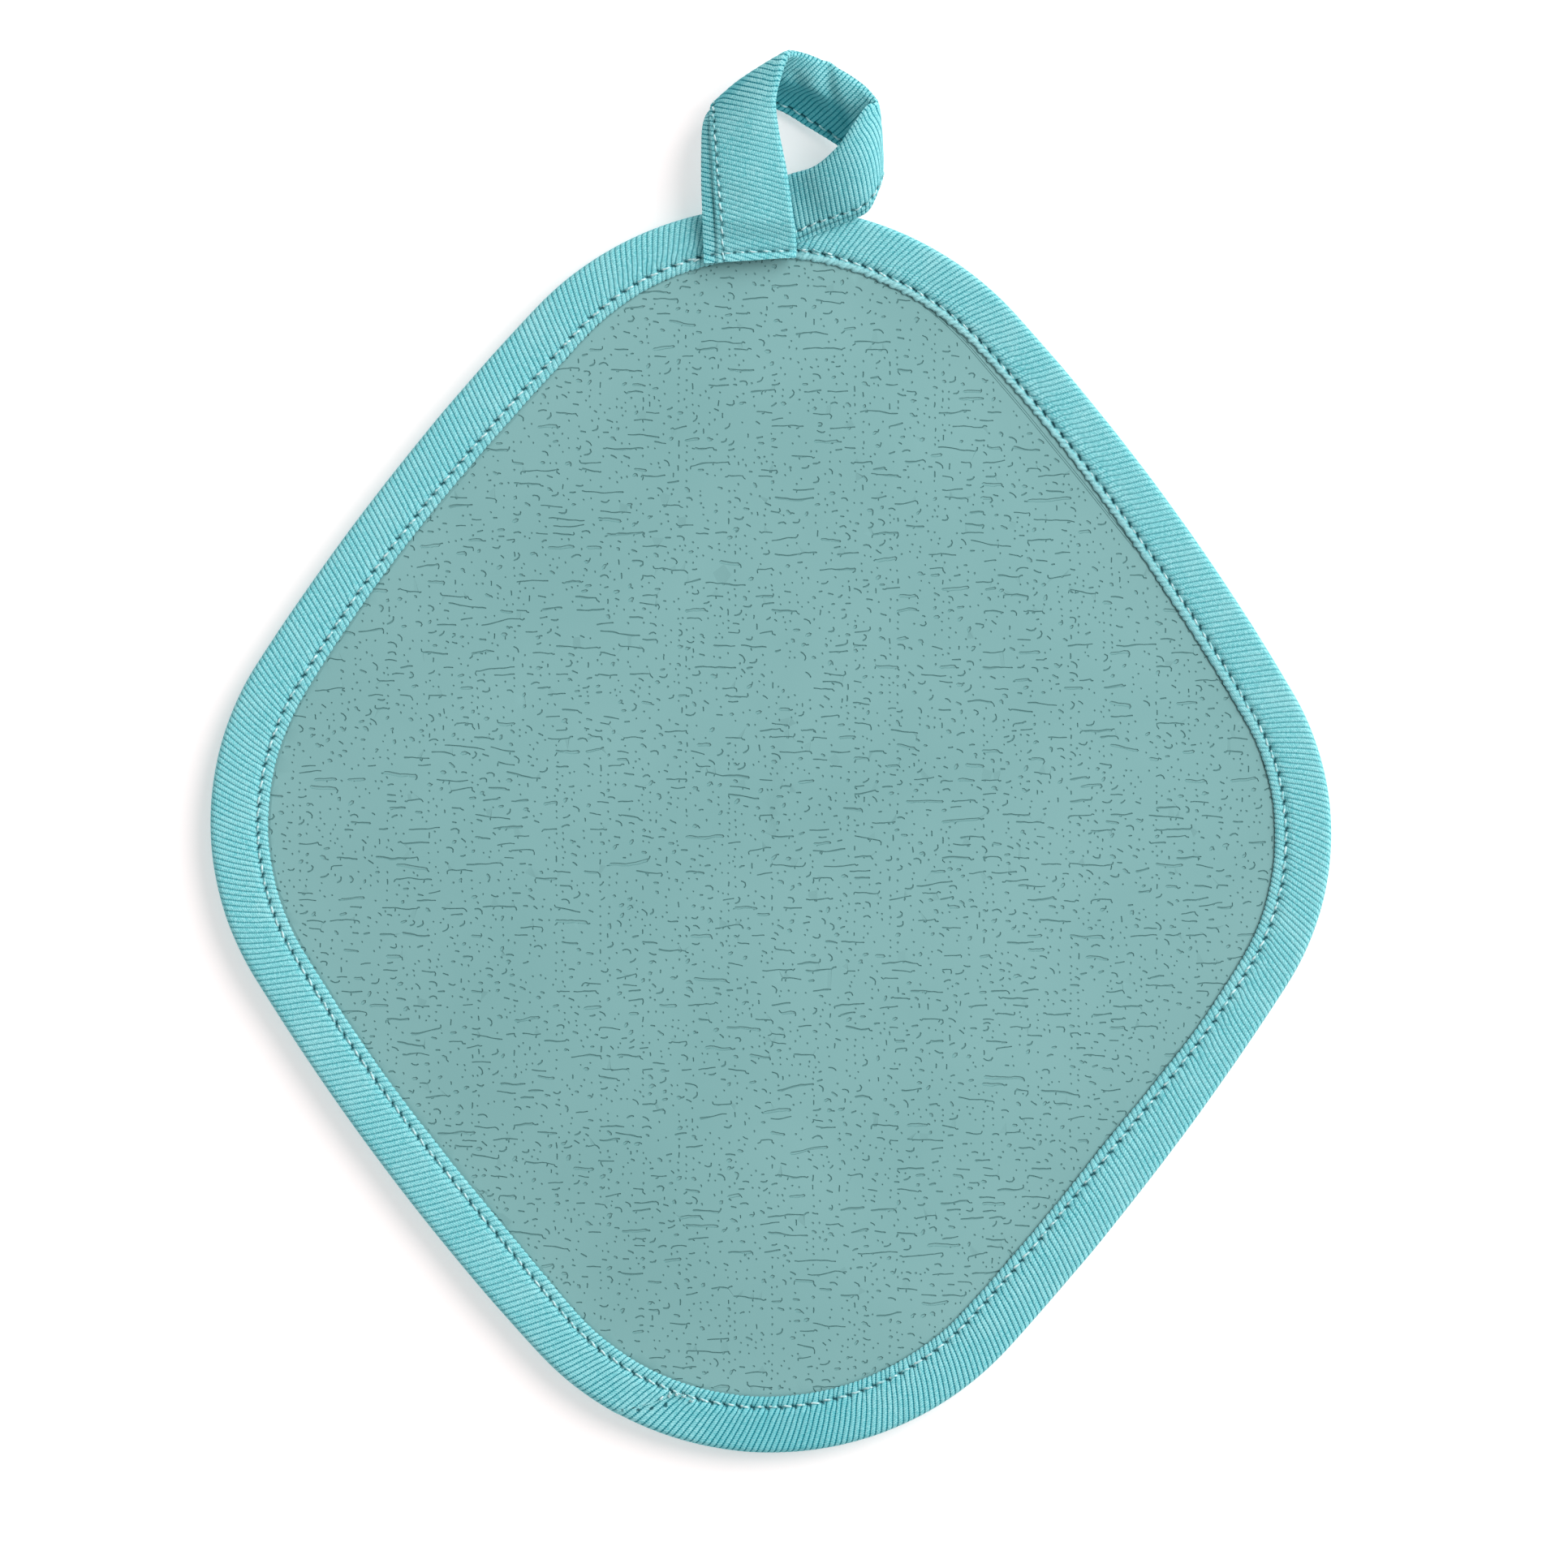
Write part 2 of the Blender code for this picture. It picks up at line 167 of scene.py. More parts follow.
# ---- Silicone face --------------------------------------------------------------------------
# One sheet of silicone rubber, moulded with a linen-like field of fine sunken marks: dots, small
# loops and thread-like strokes. Its rim is held in the binding, and the padding swells it a little.

CORNER_COLUMNS = ("corner", "centre_x", "centre_y", "radius", "next_side_radius")
CORNERS = (
    ("right", 50.8, -0.8, 50.8, 409.0),
    ("top", 0.4, 53.6, 59.3, 449.0),
    ("left", -48.3, 1.3, 53.2, 440.0),
    ("bottom", 0.1, -54.7, 58.2, 500.0),
)
FACE_THICKNESS = 1.3
FACE_RIM_TOP = 4.3
STEP_REACH = 0.45
CROWN_RISE = 1.35
CROWN_START = 10.6
CROWN_REACH = 20.0
WAVE_HEIGHT = 0.12
WAVE_ACROSS = 17.0
WAVE_UP = 21.0
RIM_INSET = 2.7


def side_centre(first, second, side_radius):
    """Centre of the large arc that touches two corner arcs from outside, on the body's inner side."""
    dx = second[1] - first[1]
    dy = second[2] - first[2]
    apart = math.hypot(dx, dy)
    reach_a = side_radius - first[3]
    reach_b = side_radius - second[3]
    along = (reach_a**2 - reach_b**2 + apart**2) / (2 * apart)
    sideways = math.sqrt(reach_a**2 - along**2)
    return (
        first[1] + dx / apart * along - dy / apart * sideways,
        first[2] + dy / apart * along + dx / apart * sideways,
    )


def outline_arcs():
    """The eight arcs of the outline, counter-clockwise: centre x and y, radius, start and turn."""
    centres = [side_centre(c, CORNERS[(i + 1) % 4], c[4]) for i, c in enumerate(CORNERS)]
    arcs = []
    for i, (_, x, y, radius, side) in enumerate(CORNERS):
        before = centres[i - 1]
        after = centres[i]
        _, next_x, next_y, _, _ = CORNERS[(i + 1) % 4]
        start = math.atan2(y - before[1], x - before[0])
        end = math.atan2(y - after[1], x - after[0])
        last = math.atan2(next_y - after[1], next_x - after[0])
        arcs.append((x, y, radius, start, (end - start) % math.tau))
        arcs.append((after[0], after[1], side, end, (last - end) % math.tau))
    return np.array(arcs)


ARCS = outline_arcs()
ARC_LENGTHS = ARCS[:, 2] * ARCS[:, 4]
ARC_STARTS = np.concatenate([[0.0], np.cumsum(ARC_LENGTHS)[:-1]])
PERIMETER = ARC_LENGTHS.sum()
BOTTOM_ARC = 6


def outline_at(distance, inset=0.0):
    """Plan x and y at these distances along the outline, counter-clockwise, moved in by the inset."""
    distance = np.mod(distance, PERIMETER)
    index = np.clip(np.searchsorted(ARC_STARTS, distance, side="right") - 1, 0, 7)
    angle = ARCS[index, 3] + (distance - ARC_STARTS[index]) / ARCS[index, 2]
    reach = ARCS[index, 2] - inset
    return ARCS[index, 0] + reach * np.cos(angle), ARCS[index, 1] + reach * np.sin(angle)


OUTLINE_SAMPLES = 1440
outline_tree = kdtree.KDTree(OUTLINE_SAMPLES)
sample_distance = np.arange(OUTLINE_SAMPLES) * PERIMETER / OUTLINE_SAMPLES
for i, (x, y) in enumerate(zip(*outline_at(sample_distance))):
    outline_tree.insert((x, y, 0.0), i)
outline_tree.balance()


def inset_of(x, y):
    """How far points inside the body are from its outline."""
    found = [outline_tree.find((a, b, 0.0))[2] for a, b in zip(np.ravel(x), np.ravel(y))]
    return np.array(found)


# The binding by direction, seen from the body's middle: its width, how high the face steps up past
# its edge, and how deep the gap beside that edge is, as a share of a mark's depth. The last column
# also sets how much painted shade lies in that gap and on the flap's edge.
BINDING_COLUMNS = ("place", "direction_deg", "width", "step_past_it", "gap_and_painted_shade")
BINDING_ROUND = (
    ("right corner", 0.0, 10.2, 0.2, 1.0),
    ("upper right side, low", 22.0, 10.0, 0.28, 1.0),
    ("upper right side, high", 55.0, 9.2, 0.3, 0.8),
    ("right of the loop", 76.0, 9.7, 0.28, 0.7),
    ("under the loop", 90.0, 9.3, 0.15, 0.3),
    ("left of the loop", 100.0, 9.4, 0.12, 0.3),
    ("upper left side, high", 118.0, 10.3, 0.12, 0.6),
    ("upper left side, low", 148.0, 9.8, 0.12, 0.6),
    ("left corner", 174.0, 10.5, 0.12, 0.5),
    ("lower left side, high", 206.0, 9.9, 0.1, 0.3),
    ("lower left side, low", 234.0, 10.4, 0.1, 0.2),
    ("bottom corner, left", 253.0, 9.8, 0.1, 0.2),
    ("bottom corner, right", 288.0, 10.5, 0.12, 0.6),
    ("lower right side, low", 315.0, 10.5, 0.15, 0.9),
    ("lower right side, high", 337.0, 9.3, 0.18, 1.0),
)


def smooth(share):
    share = np.clip(share, 0.0, 1.0)
    return share * share * (3 - 2 * share)


def round_table(table, column, x, y):
    """A column of a table that goes by direction, smoothly, at these places."""
    direction = np.degrees(np.arctan2(y, x)) % 360
    places = np.array([row[1] for row in table] + [360.0])
    values = np.array([row[column] for row in table] + [table[0][column]])
    index = np.clip(np.searchsorted(places, direction, side="right") - 1, 0, len(table) - 1)
    share = smooth((direction - places[index]) / (places[index + 1] - places[index]))
    return values[index] + (values[index + 1] - values[index]) * share


def binding_width(distance):
    return round_table(BINDING_ROUND, 2, *outline_at(distance))


def face_top(x, y, inset):
    """Height of the silicone's upper surface: pressed down under the binding, a small step up
    past it, and a low uneven crown inside."""
    step = smooth((inset - round_table(BINDING_ROUND, 2, x, y)) / STEP_REACH)
    step *= round_table(BINDING_ROUND, 3, x, y)
    swell = 1 - np.exp(-((np.maximum(inset - CROWN_START, 0.0) / CROWN_REACH) ** 2))
    wave = np.sin(x / WAVE_ACROSS + 0.7) * np.cos(y / WAVE_UP + 0.4)
    return FACE_RIM_TOP + step + swell * (CROWN_RISE + WAVE_HEIGHT * wave)


# The marks. Each is one or more strokes that run together. A stroke is a line of points with half
# its width at each, and a stroke of one point is a dot. They are pockets with steep walls.
DRAW_SEED = 41
MARK_DEPTH = 0.2
MARK_WALL = 0.13
SHALLOWEST = 0.12
MARKS_FROM_RIM = 8.9
FIELD_X = 98.0
FIELD_Y = 112.0
FACE_X = 100.0
DIAMOND_X = 118.0
DIAMOND_Y = 130.0
WARP_SPACING = 7.75
WEFT_SPACING = 1.28
STROKE_COUNT = 860
PATCH_COUNT = 1500
DOT_COUNT = 3100
draw = random.Random(DRAW_SEED)

# A fine double line moulded beside the rim at the upper right, which the marks keep clear of.
RIM_LINE_COLUMNS = ("direction_deg", "inset")
RIM_LINE = ((36.0, 9.5), (42.0, 10.0), (52.0, 10.3), (62.0, 10.2), (68.0, 9.9), (73.0, 9.4))
RIM_LINE_HALF = 0.07
RIM_LINES_APART = 0.36
RIM_LINE_ROOM = 2.2


def wandering_line(length, narrow, wide, heading=0.0, step=0.7, sway=0.2):
    """A stroke that wanders a little in its heading and its width, as a thread does."""
    turn = draw.uniform(-0.08, 0.08)
    half = draw.uniform(narrow, wide)
    points = [(0.0, 0.0, half)]
    count = max(1, round(length / step))
    for _ in range(count):
        turn = 0.5 * turn + draw.uniform(-sway, sway)
        half = min(max(half + draw.uniform(-0.08, 0.08), narrow), wide)
        x, y, _ = points[-1]
        reach = length / count
        points.append(
            (x + reach * math.cos(heading + turn), y + reach * math.sin(heading + turn), half)
        )
    return points


def leg(start, angle_deg, length):
    """A short branch from a point of a stroke, bent a little."""
    angle = math.radians(angle_deg)
    bent = angle + draw.choice((-1, 1)) * draw.uniform(0.4, 1.2)
    half = draw.uniform(0.11, 0.16)
    knee = (start[0] + length / 2 * math.cos(angle), start[1] + length / 2 * math.sin(angle))
    foot = (knee[0] + length / 2 * math.cos(bent), knee[1] + length / 2 * math.sin(bent))
    return [(start[0], start[1], half), (*knee, half), (*foot, half * draw.uniform(0.9, 1.3))]


def dot():
    return [[(0.0, 0.0, draw.uniform(0.18, 0.25))]]


def upright():
    return [wandering_line(draw.uniform(0.35, 1.0), 0.13, 0.18, -math.pi / 2, 0.5, 0.12)]


def dash():
    return [wandering_line(draw.uniform(0.4, 1.1), 0.15, 0.24, draw.uniform(-0.7, 0.3), 0.6, 0.15)]


def patch():
    """A small pocket, wide enough to show its floor."""
    lines = [wandering_line(draw.uniform(0.2, 0.7), 0.24, 0.36, draw.uniform(-0.9, 1.2), 0.5, 0.3)]
    if draw.random() < 0.4:
        lines.append(leg(lines[0][-1], draw.uniform(-120, 60), draw.uniform(0.5, 0.9)))
    return lines


def curl():
    """A short stroke that curls round at one end, as a thread's loop does."""
    points = [(0.0, 0.0, draw.uniform(0.12, 0.18))]
    heading = draw.uniform(-0.6, 0.6)
    turn = draw.choice((-1, 1)) * draw.uniform(0.5, 1.1)
    for k in range(draw.choice((2, 3, 3, 4, 4))):
        reach = draw.uniform(0.32, 0.55)
        x, y, _ = points[-1]
        half = draw.uniform(0.12, 0.2)
        points.append((x + reach * math.cos(heading), y + reach * math.sin(heading), half))
        heading += turn * (0.4 + 0.3 * k)
    return [points]


def stroke():
    """A level stroke, mostly narrow, with a hook at an end or a few short branches."""
    length = draw.choice((1.5, 1.9, 2.3, 2.6, 3.0, 3.4, 4.0, 5.0, 6.6)) * draw.uniform(0.85, 1.15)
    widest = draw.choice((0.13, 0.18, 0.26, 0.32))
    line = wandering_line(length, 0.11, widest)
    lines = [line]
    if draw.random() < 0.45:
        lines.append(leg(line[-1], draw.choice((-65, -45, -25, 40)), draw.uniform(0.5, 1.0)))
    if draw.random() < 0.15:
        lines.append(leg(line[0], draw.choice((-140, -155, 150)), draw.uniform(0.4, 0.8)))
    if length > 2.6:
        for _ in range(draw.choice((0, 0, 1, 1) if length < 4 else (0, 1, 2))):
            start = line[draw.randrange(1, len(line) - 1)]
            turn = draw.choice((-60, -45, -125, -140))
            lines.append(leg(start, turn, draw.uniform(0.4, 0.7)))
    return lines


def along_warp():
    """A stroke that starts at a warp thread, where it may have an upright arm."""
    lines = stroke()
    if draw.random() < 0.5:
        lines = [[(-x, y, half) for x, y, half in line] for line in lines]
    if draw.random() < 0.3:
        lines.append(leg((0.0, 0.0), draw.choice((-90, -80)), draw.uniform(0.5, 1.1)))
    return lines


CELL = 1.6  # marks are kept in square cells of this size, so that near ones are found fast
taken = {}
marks = []


def on_face(x, y):
    """On the sheet and away from its rim. The first test keeps out places beyond the outline."""
    inside = abs(x) / DIAMOND_X + abs(y) / DIAMOND_Y < 1 and abs(x) < FACE_X and abs(y) < FIELD_Y
    direction = math.degrees(math.atan2(y, x))
    beside_rim_line = RIM_LINE[0][0] - 2 < direction < RIM_LINE[-1][0] + 2
    from_rim = MARKS_FROM_RIM + RIM_LINE_ROOM * beside_rim_line
    return inside and outline_tree.find((x, y, 0.0))[2] > from_rim


def place_mark(lines, x, y, clearance):
    """Adds the mark at this place if it lies on the face, clear of the marks already there."""
    moved = [[(a + x, b + y, half) for a, b, half in line] for line in lines]
    spots = []
    for line in moved:
        spots.append(line[0])
        for (ax, ay, ah), (bx, by, bh) in zip(line, line[1:]):
            spots += [((ax + bx) / 2, (ay + by) / 2, (ah + bh) / 2), (bx, by, bh)]
    for a, b, half in spots:
        column, row = math.floor(a / CELL), math.floor(b / CELL)
        for i in (column - 1, column, column + 1):
            for j in (row - 1, row, row + 1):
                for c, d, other in taken.get((i, j), ()):
                    if (a - c) ** 2 + (b - d) ** 2 < (clearance + half + other) ** 2:
                        return False
    if not all(on_face(a, b) for a, b, _ in spots):
        return False
    for a, b, half in spots:
        taken.setdefault((math.floor(a / CELL), math.floor(b / CELL)), []).append((a, b, half))
    marks.append(moved)
    return True


def crowding(x, y, size_x, size_y, seed):
    return noise.noise(Vector((x / size_x, y / size_y, seed)))


def scatter(count, shapes, shares, size, least, clearance):
    """Places marks at random, fewer where the field is low, until there are enough."""
    placed = 0
    for _ in range(12 * count):
        x = draw.uniform(-FIELD_X, FIELD_X)
        y = draw.uniform(-FIELD_Y, FIELD_Y)
        if crowding(x, y, size, size, count) < least + draw.uniform(-0.3, 0.3):
            continue
        shape = draw.choices(shapes, shares)[0]
        placed += place_mark(shape(), x, y, draw.uniform(*clearance))
        if placed == count:
            return


# Level strokes lie along weft threads, and many of them end at a warp thread.
warps = [k * WARP_SPACING + draw.uniform(-0.35, 0.35) for k in range(-12, 13)]
placed = 0
while placed < STROKE_COUNT:
    x = draw.uniform(-FIELD_X, FIELD_X)
    weft = round(draw.uniform(-FIELD_Y, FIELD_Y) / WEFT_SPACING)
    y = (weft + draw.uniform(-0.12, 0.12)) * WEFT_SPACING
    if crowding(x, y, 12.0, 5.0, 1.5) < draw.uniform(-0.5, 0.2):
        continue
    if draw.random() < 0.35:
        placed += place_mark(along_warp(), draw.choice(warps), y, 0.5)
    else:
        placed += place_mark(stroke(), x, y, 0.5)

# Upright strings of small marks lie along the warp threads, with gaps, and a few have a second
# string beside them.
STRING_SHAPES = (dot, upright, patch, curl)
STRING_SHARES = (56, 12, 14, 18)
for warp in warps:
    for offset in (0.0, draw.choice((1.4, -1.4, 40.0))):
        y = -FIELD_Y + draw.uniform(0, 3)
        while y < FIELD_Y + 2:
            if crowding(warp + offset, y, 8.0, 11.0, 5.5) > -0.12 + 0.2 * (offset != 0):
                shape = draw.choices(STRING_SHAPES, STRING_SHARES)[0]
                place_mark(shape(), warp + offset + draw.uniform(-0.15, 0.15), y, 0.3)
            y += draw.uniform(1.1, 2.1)

# Small pockets, curls and dots fill what is left, dense in some places and thin in others.
scatter(PATCH_COUNT, (patch, curl, dash, upright), (32, 32, 28, 8), 7.0, -0.25, (0.4, 0.6))
scatter(DOT_COUNT, (dot, dot, dash), (80, 12, 8), 5.0, -0.4, (0.3, 1.0))


def bank(line, half):
    """The closed edge round a stroke, at these distances from its middle line."""
    points = np.array(line)[:, :2]
    before = np.vstack([2 * points[0] - points[1], points[:-1]])
    after = np.vstack([points[1:], 2 * points[-1] - points[-2]])
    go_in = (points - before) / (np.linalg.norm(points - before, axis=1)[:, None] + 1e-9)
    go_out = (after - points) / (np.linalg.norm(after - points, axis=1)[:, None] + 1e-9)
    way = go_in + go_out
    way /= np.linalg.norm(way, axis=1)[:, None] + 1e-9
    stretch = 1 / np.clip(np.abs((way * go_in).sum(axis=1)), 0.75, 1.0)
    side = np.column_stack([-way[:, 1], way[:, 0]]) * (half * stretch)[:, None]
    first_tip = points[0] - go_out[0] * half[0]
    last_tip = points[-1] + go_in[-1] * half[-1]
    return np.vstack([first_tip, points + side, last_tip, (points - side)[::-1]])


plan_points = []
plan_edges = []


def add_line(points, closed=True):
    start = len(plan_points)
    plan_points.extend(Vector((float(a), float(b))) for a, b in points)
    count = len(points)
    last = count if closed else count - 1
    plan_edges.extend((start + k, start + (k + 1) % count) for k in range(last))


# The rim, two rings under the binding and four that carry the gap and the step past its edge, then
# the moulded rim line, a loose grid and the marks.
RIM_POINTS = 256
HIDDEN_RINGS = (5.0, 7.4)
EDGE_RING_COLUMNS = ("past_the_edge", "gap_share")
EDGE_RINGS = ((-0.3, 0.0), (0.0, 1.0), (0.22, 0.35), (STEP_REACH, 0.0))
EDGE_SPACING = 1.6
RIM_LINE_SPACING = 2.4
GRID_SPACING = 3.4
GRID_SWAY = 0.8
UNDER_SPACING = 8.0
DOT_SIDES = 6
MERGE_WITHIN = 1e-4
rim_distance = np.arange(RIM_POINTS) * PERIMETER / RIM_POINTS
add_line(np.column_stack(outline_at(rim_distance, RIM_INSET)))
for inset in HIDDEN_RINGS:
    add_line(np.column_stack(outline_at(rim_distance[::2], inset)))
edge_distance = np.arange(0.0, PERIMETER - EDGE_SPACING / 2, EDGE_SPACING)
edge_start = len(plan_points)
edge_gap_shares = []
for past, gap_share in EDGE_RINGS:
    ring_inset = binding_width(edge_distance) + past
    add_line(np.column_stack(outline_at(edge_distance, ring_inset)))
    edge_gap_shares += [gap_share] * len(edge_distance)
all_rim = np.arange(0.0, PERIMETER, RIM_LINE_SPACING)
rim_x, rim_y = outline_at(all_rim)
direction = np.degrees(np.arctan2(rim_y, rim_x))
has_line = (direction > RIM_LINE[0][0]) & (direction < RIM_LINE[-1][0])
line_inset = np.interp(direction[has_line], *zip(*RIM_LINE))
bed_lines = []
for apart in (0.0, RIM_LINES_APART):
    line = np.column_stack(outline_at(all_rim[has_line], line_inset + apart))
    half = np.full(len(line), RIM_LINE_HALF)
    add_line(line, closed=False)
    add_line(bank(line, half))
    bed_lines += [(*a, RIM_LINE_HALF, *b, RIM_LINE_HALF) for a, b in zip(line, line[1:])]
for column in np.arange(2 - FIELD_X, FIELD_X, GRID_SPACING):
    for row in np.arange(2 - FIELD_Y, FIELD_Y, GRID_SPACING):
        spot = (column + GRID_SWAY * math.sin(row), row + GRID_SWAY * math.sin(1.7 * column))
        if on_face(*spot):
            plan_points.append(Vector(spot))
for mark in marks:
    for line in mark:
        if len(line) == 1:
            x, y, radius = line[0]
            longer = draw.uniform(1.0, 1.45)
            lean = draw.uniform(0, math.pi)
            turn = np.arange(DOT_SIDES) / DOT_SIDES * math.tau
            a, b = radius * longer * np.cos(turn), radius * np.sin(turn)
            ring_x = x + a * math.cos(lean) - b * math.sin(lean)
            ring_y = y + a * math.sin(lean) + b * math.cos(lean)
            add_line(np.column_stack([ring_x, ring_y]))
            plan_points.append(Vector((x, y)))
            bed_lines.append((x, y, radius, x, y, radius))
            continue
        half = np.array(line)[:, 2]
        add_line(bank(line, half))
        if half.min() > MARK_WALL + 0.05:
            add_line(bank(line, half - MARK_WALL))
        else:
            add_line([(x, y) for x, y, _ in line], closed=False)
        bed_lines += [(*a, *b) for a, b in zip(line, line[1:])]

plan, _, plan_faces, plan_sources, _, _ = delaunay_2d_cdt(
    plan_points, plan_edges, [], 0, MERGE_WITHIN, False
)
plan = np.array([(p.x, p.y) for p in plan])

# How deep each point lies: level on a pocket's floor, and sloping in its walls.
near_lines = {}
for line in bed_lines:
    ax, ay, ah, bx, by, bh = line
    half = max(ah, bh)
    for i in range(math.floor(min(ax, bx) - half), math.floor(max(ax, bx) + half) + 1):
        for j in range(math.floor(min(ay, by) - half), math.floor(max(ay, by) + half) + 1):
            near_lines.setdefault((i, j), []).append(line)
sunk = np.zeros(len(plan))
for k, (x, y) in enumerate(plan):
    for ax, ay, ah, bx, by, bh in near_lines.get((math.floor(x), math.floor(y)), ()):
        dx, dy = bx - ax, by - ay
        length = dx * dx + dy * dy
        share = 0.0 if length == 0 else min(max(((x - ax) * dx + (y - ay) * dy) / length, 0.0), 1.0)
        apart = math.hypot(x - ax - share * dx, y - ay - share * dy)
        sunk[k] = max(sunk[k], min((ah + (bh - ah) * share - apart) / MARK_WALL, 1.0))
sunk[sunk < SHALLOWEST] = 0.0

# Beside the binding's edge the sheet dips into a narrow gap, whose walls get painted shade too.
for k, sources in enumerate(plan_sources):
    if sources and edge_start <= sources[0] < edge_start + len(edge_gap_shares):
        gap_share = edge_gap_shares[sources[0] - edge_start]
        sunk[k] = gap_share * round_table(BINDING_ROUND, 4, *plan[k])

heights = face_top(plan[:, 0], plan[:, 1], inset_of(plan[:, 0], plan[:, 1]))
top = np.column_stack([plan, heights - MARK_DEPTH * sunk])
under_plan = [Vector(p) for p in zip(*outline_at(rim_distance, RIM_INSET))]
under_plan += [
    Vector((a, b))
    for a in np.arange(2 - FIELD_X, FIELD_X, UNDER_SPACING)
    for b in np.arange(2 - FIELD_Y, FIELD_Y, UNDER_SPACING)
    if on_face(a, b)
]
below, _, below_faces, _, _, _ = delaunay_2d_cdt(under_plan, [], [], 0, MERGE_WITHIN, False)
below = np.array([(p.x, p.y) for p in below])
below_top = face_top(below[:, 0], below[:, 1], inset_of(below[:, 0], below[:, 1]))
bottom = np.column_stack([below, below_top - FACE_THICKNESS])
start = len(top)
faces = [tuple(face) for face in plan_faces]
faces += [tuple(start + i for i in reversed(face)) for face in below_faces]
faces += [
    (start + k, start + (k + 1) % RIM_POINTS, (k + 1) % RIM_POINTS, k) for k in range(RIM_POINTS)
]

# Silicone rubber, moulded: dense and matt with a soft, broad highlight, a fine grain from the
# mould, slight differences in colour over the sheet, and painted shade on the walls of the marks
# and in the gap beside the binding's edge.
silicone, tree, shader = new_material("moulded_silicone_rubber", 0.56)
shader.inputs["IOR"].default_value = 1.41
shader.inputs["Specular IOR Level"].default_value = 0.35
place = add_node(tree, "TexCoord").outputs["Object"]
clouds = add_node(tree, "TexNoise", {"Vector": place, "Scale": 30.0, "Detail": 4.0})
tint = add_node(tree, "ValToRGB", [clouds])
dark_tone, light_tone = tint.color_ramp.elements
dark_tone.position, dark_tone.color = 0.3, linear("#7EAEAE")
light_tone.position, light_tone.color = 0.7, linear("#85B4B4")
# Painted shade: the walls of the marks and of the gap are darkened towards a dark grey-teal.
wall = add_node(tree, "Attribute", attribute_name="wall").outputs["Fac"]
shade = add_node(tree, "Math", (wall, 0.4), operation="MULTIPLY")
colour = add_node(tree, "Mix", {0: shade, 6: tint, 7: linear("#456F70")}, data_type="RGBA")
tree.links.new(colour.outputs[2], shader.inputs["Base Color"])
grain = add_node(tree, "TexNoise", {"Vector": place, "Scale": 2600.0, "Detail": 2.0})
relief = add_node(tree, "Bump", {"Height": grain, "Strength": 0.3, "Distance": 0.02 * MM})
tree.links.new(relief.outputs["Normal"], shader.inputs["Normal"])

silicone_face = link_piece("silicone_face", np.vstack([top, bottom]), faces, silicone, 14.0)
triangles = np.array(plan_faces)
sunk_share = sunk[triangles].mean(axis=1)
# Each face's painted shade comes from how deep its corners lie, and is most half way down a wall.
painted_recess_shade_values = np.zeros(len(faces))
painted_recess_shade_values[: len(triangles)] = 4 * sunk_share * (1 - sunk_share)
add_values(silicone_face, "wall", painted_recess_shade_values, "FACE")
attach(silicone_face, "root")
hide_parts("face_panel")


# ---- Twill binding --------------------------------------------------------------------------
# One strip of cotton twill, folded over the rim and sewn through with a single row. Its ribs run
# aslant round the fold, the cloth puckers at the stitches, and its two ends lap at the lower left.

RIB_PITCH = 1.0
RIB_SLANT_DEG = 24.0
RIB_HEIGHT = 0.1
RIB_COLUMNS = ("share_of_pitch", "height")
RIB = ((0.0, -1.0), (0.16, 0.45), (0.5, 1.0), (0.84, 0.45))
STITCH_PITCH = 2.53
HOLE_HALF = 0.22
HOLE_DEPTH = 0.35
GATHER = 0.26
GATHER_REACH = 1.3
ROW_GROOVE = 0.1
PUCKER = 0.08
UNEVEN = 0.1
UNEVEN_SIZE = 8.0
EDGE_SCALLOP = 0.05
ROPE_SCALLOP = 0.1
ROPE_RISE = 0.05
ROPE_LUMP = 0.09
ROPE_SINK = 0.03
ROPE_CREVICE_SHADE = 0.3
ROPE_SMOOTHS_RIBS = 0.8

# The row runs nearer to the flap's edge on the upper right side, where the strip past it stands up
# as a rope of bunched yarns and the thread sinks in, and is made paler, partly as painted light.
# The last column is painted light and shade on the ribs: above zero the valleys are darker and, on
# the bottom corner, the tone deeper; below zero they are fainter, as painted light on the right.
ROW_COLUMNS = ("place", "direction_deg", "row_in", "bunched", "sunk", "stretched")
ROW = (
    ("right corner", 0.0, 2.0, 0.15, 0.04, -0.1),
    ("upper right side, low", 22.0, 1.8, 0.5, 0.12, -0.15),
    ("upper right side, high", 52.0, 1.3, 0.95, 0.3, -0.15),
    ("right of the loop", 76.0, 1.5, 1.0, 0.12, 0.1),
    ("left of the loop", 104.0, 1.9, 0.2, 0.0, 0.1),
    ("left corner", 174.0, 1.9, 0.1, 0.0, 0.0),
    ("lower left side", 236.0, 1.95, 0.1, 0.0, -0.05),
    ("bottom corner", 270.0, 2.0, 0.1, 0.0, 0.83),
    ("lower right side", 315.0, 1.75, 0.15, 0.0, 0.05),
)
ROW_USUAL = 1.85
JOIN_OUTER_DEG = 242.0
JOIN_SLANT = 12.0
JOIN_LAP = 10.0
JOIN_FADE = 9.0
JOIN_LIFT = 0.22
JOIN_STEP = 0.9
JOIN_DRAG = 1.8
JOIN_DRAG_REACH = 5.0
JOIN_DENTS = ((-26.9, -105.2), (-24.0, -105.2), (-21.6, -104.9), (-19.0, -104.3))
JOIN_DENT_HEIGHT = 5.5

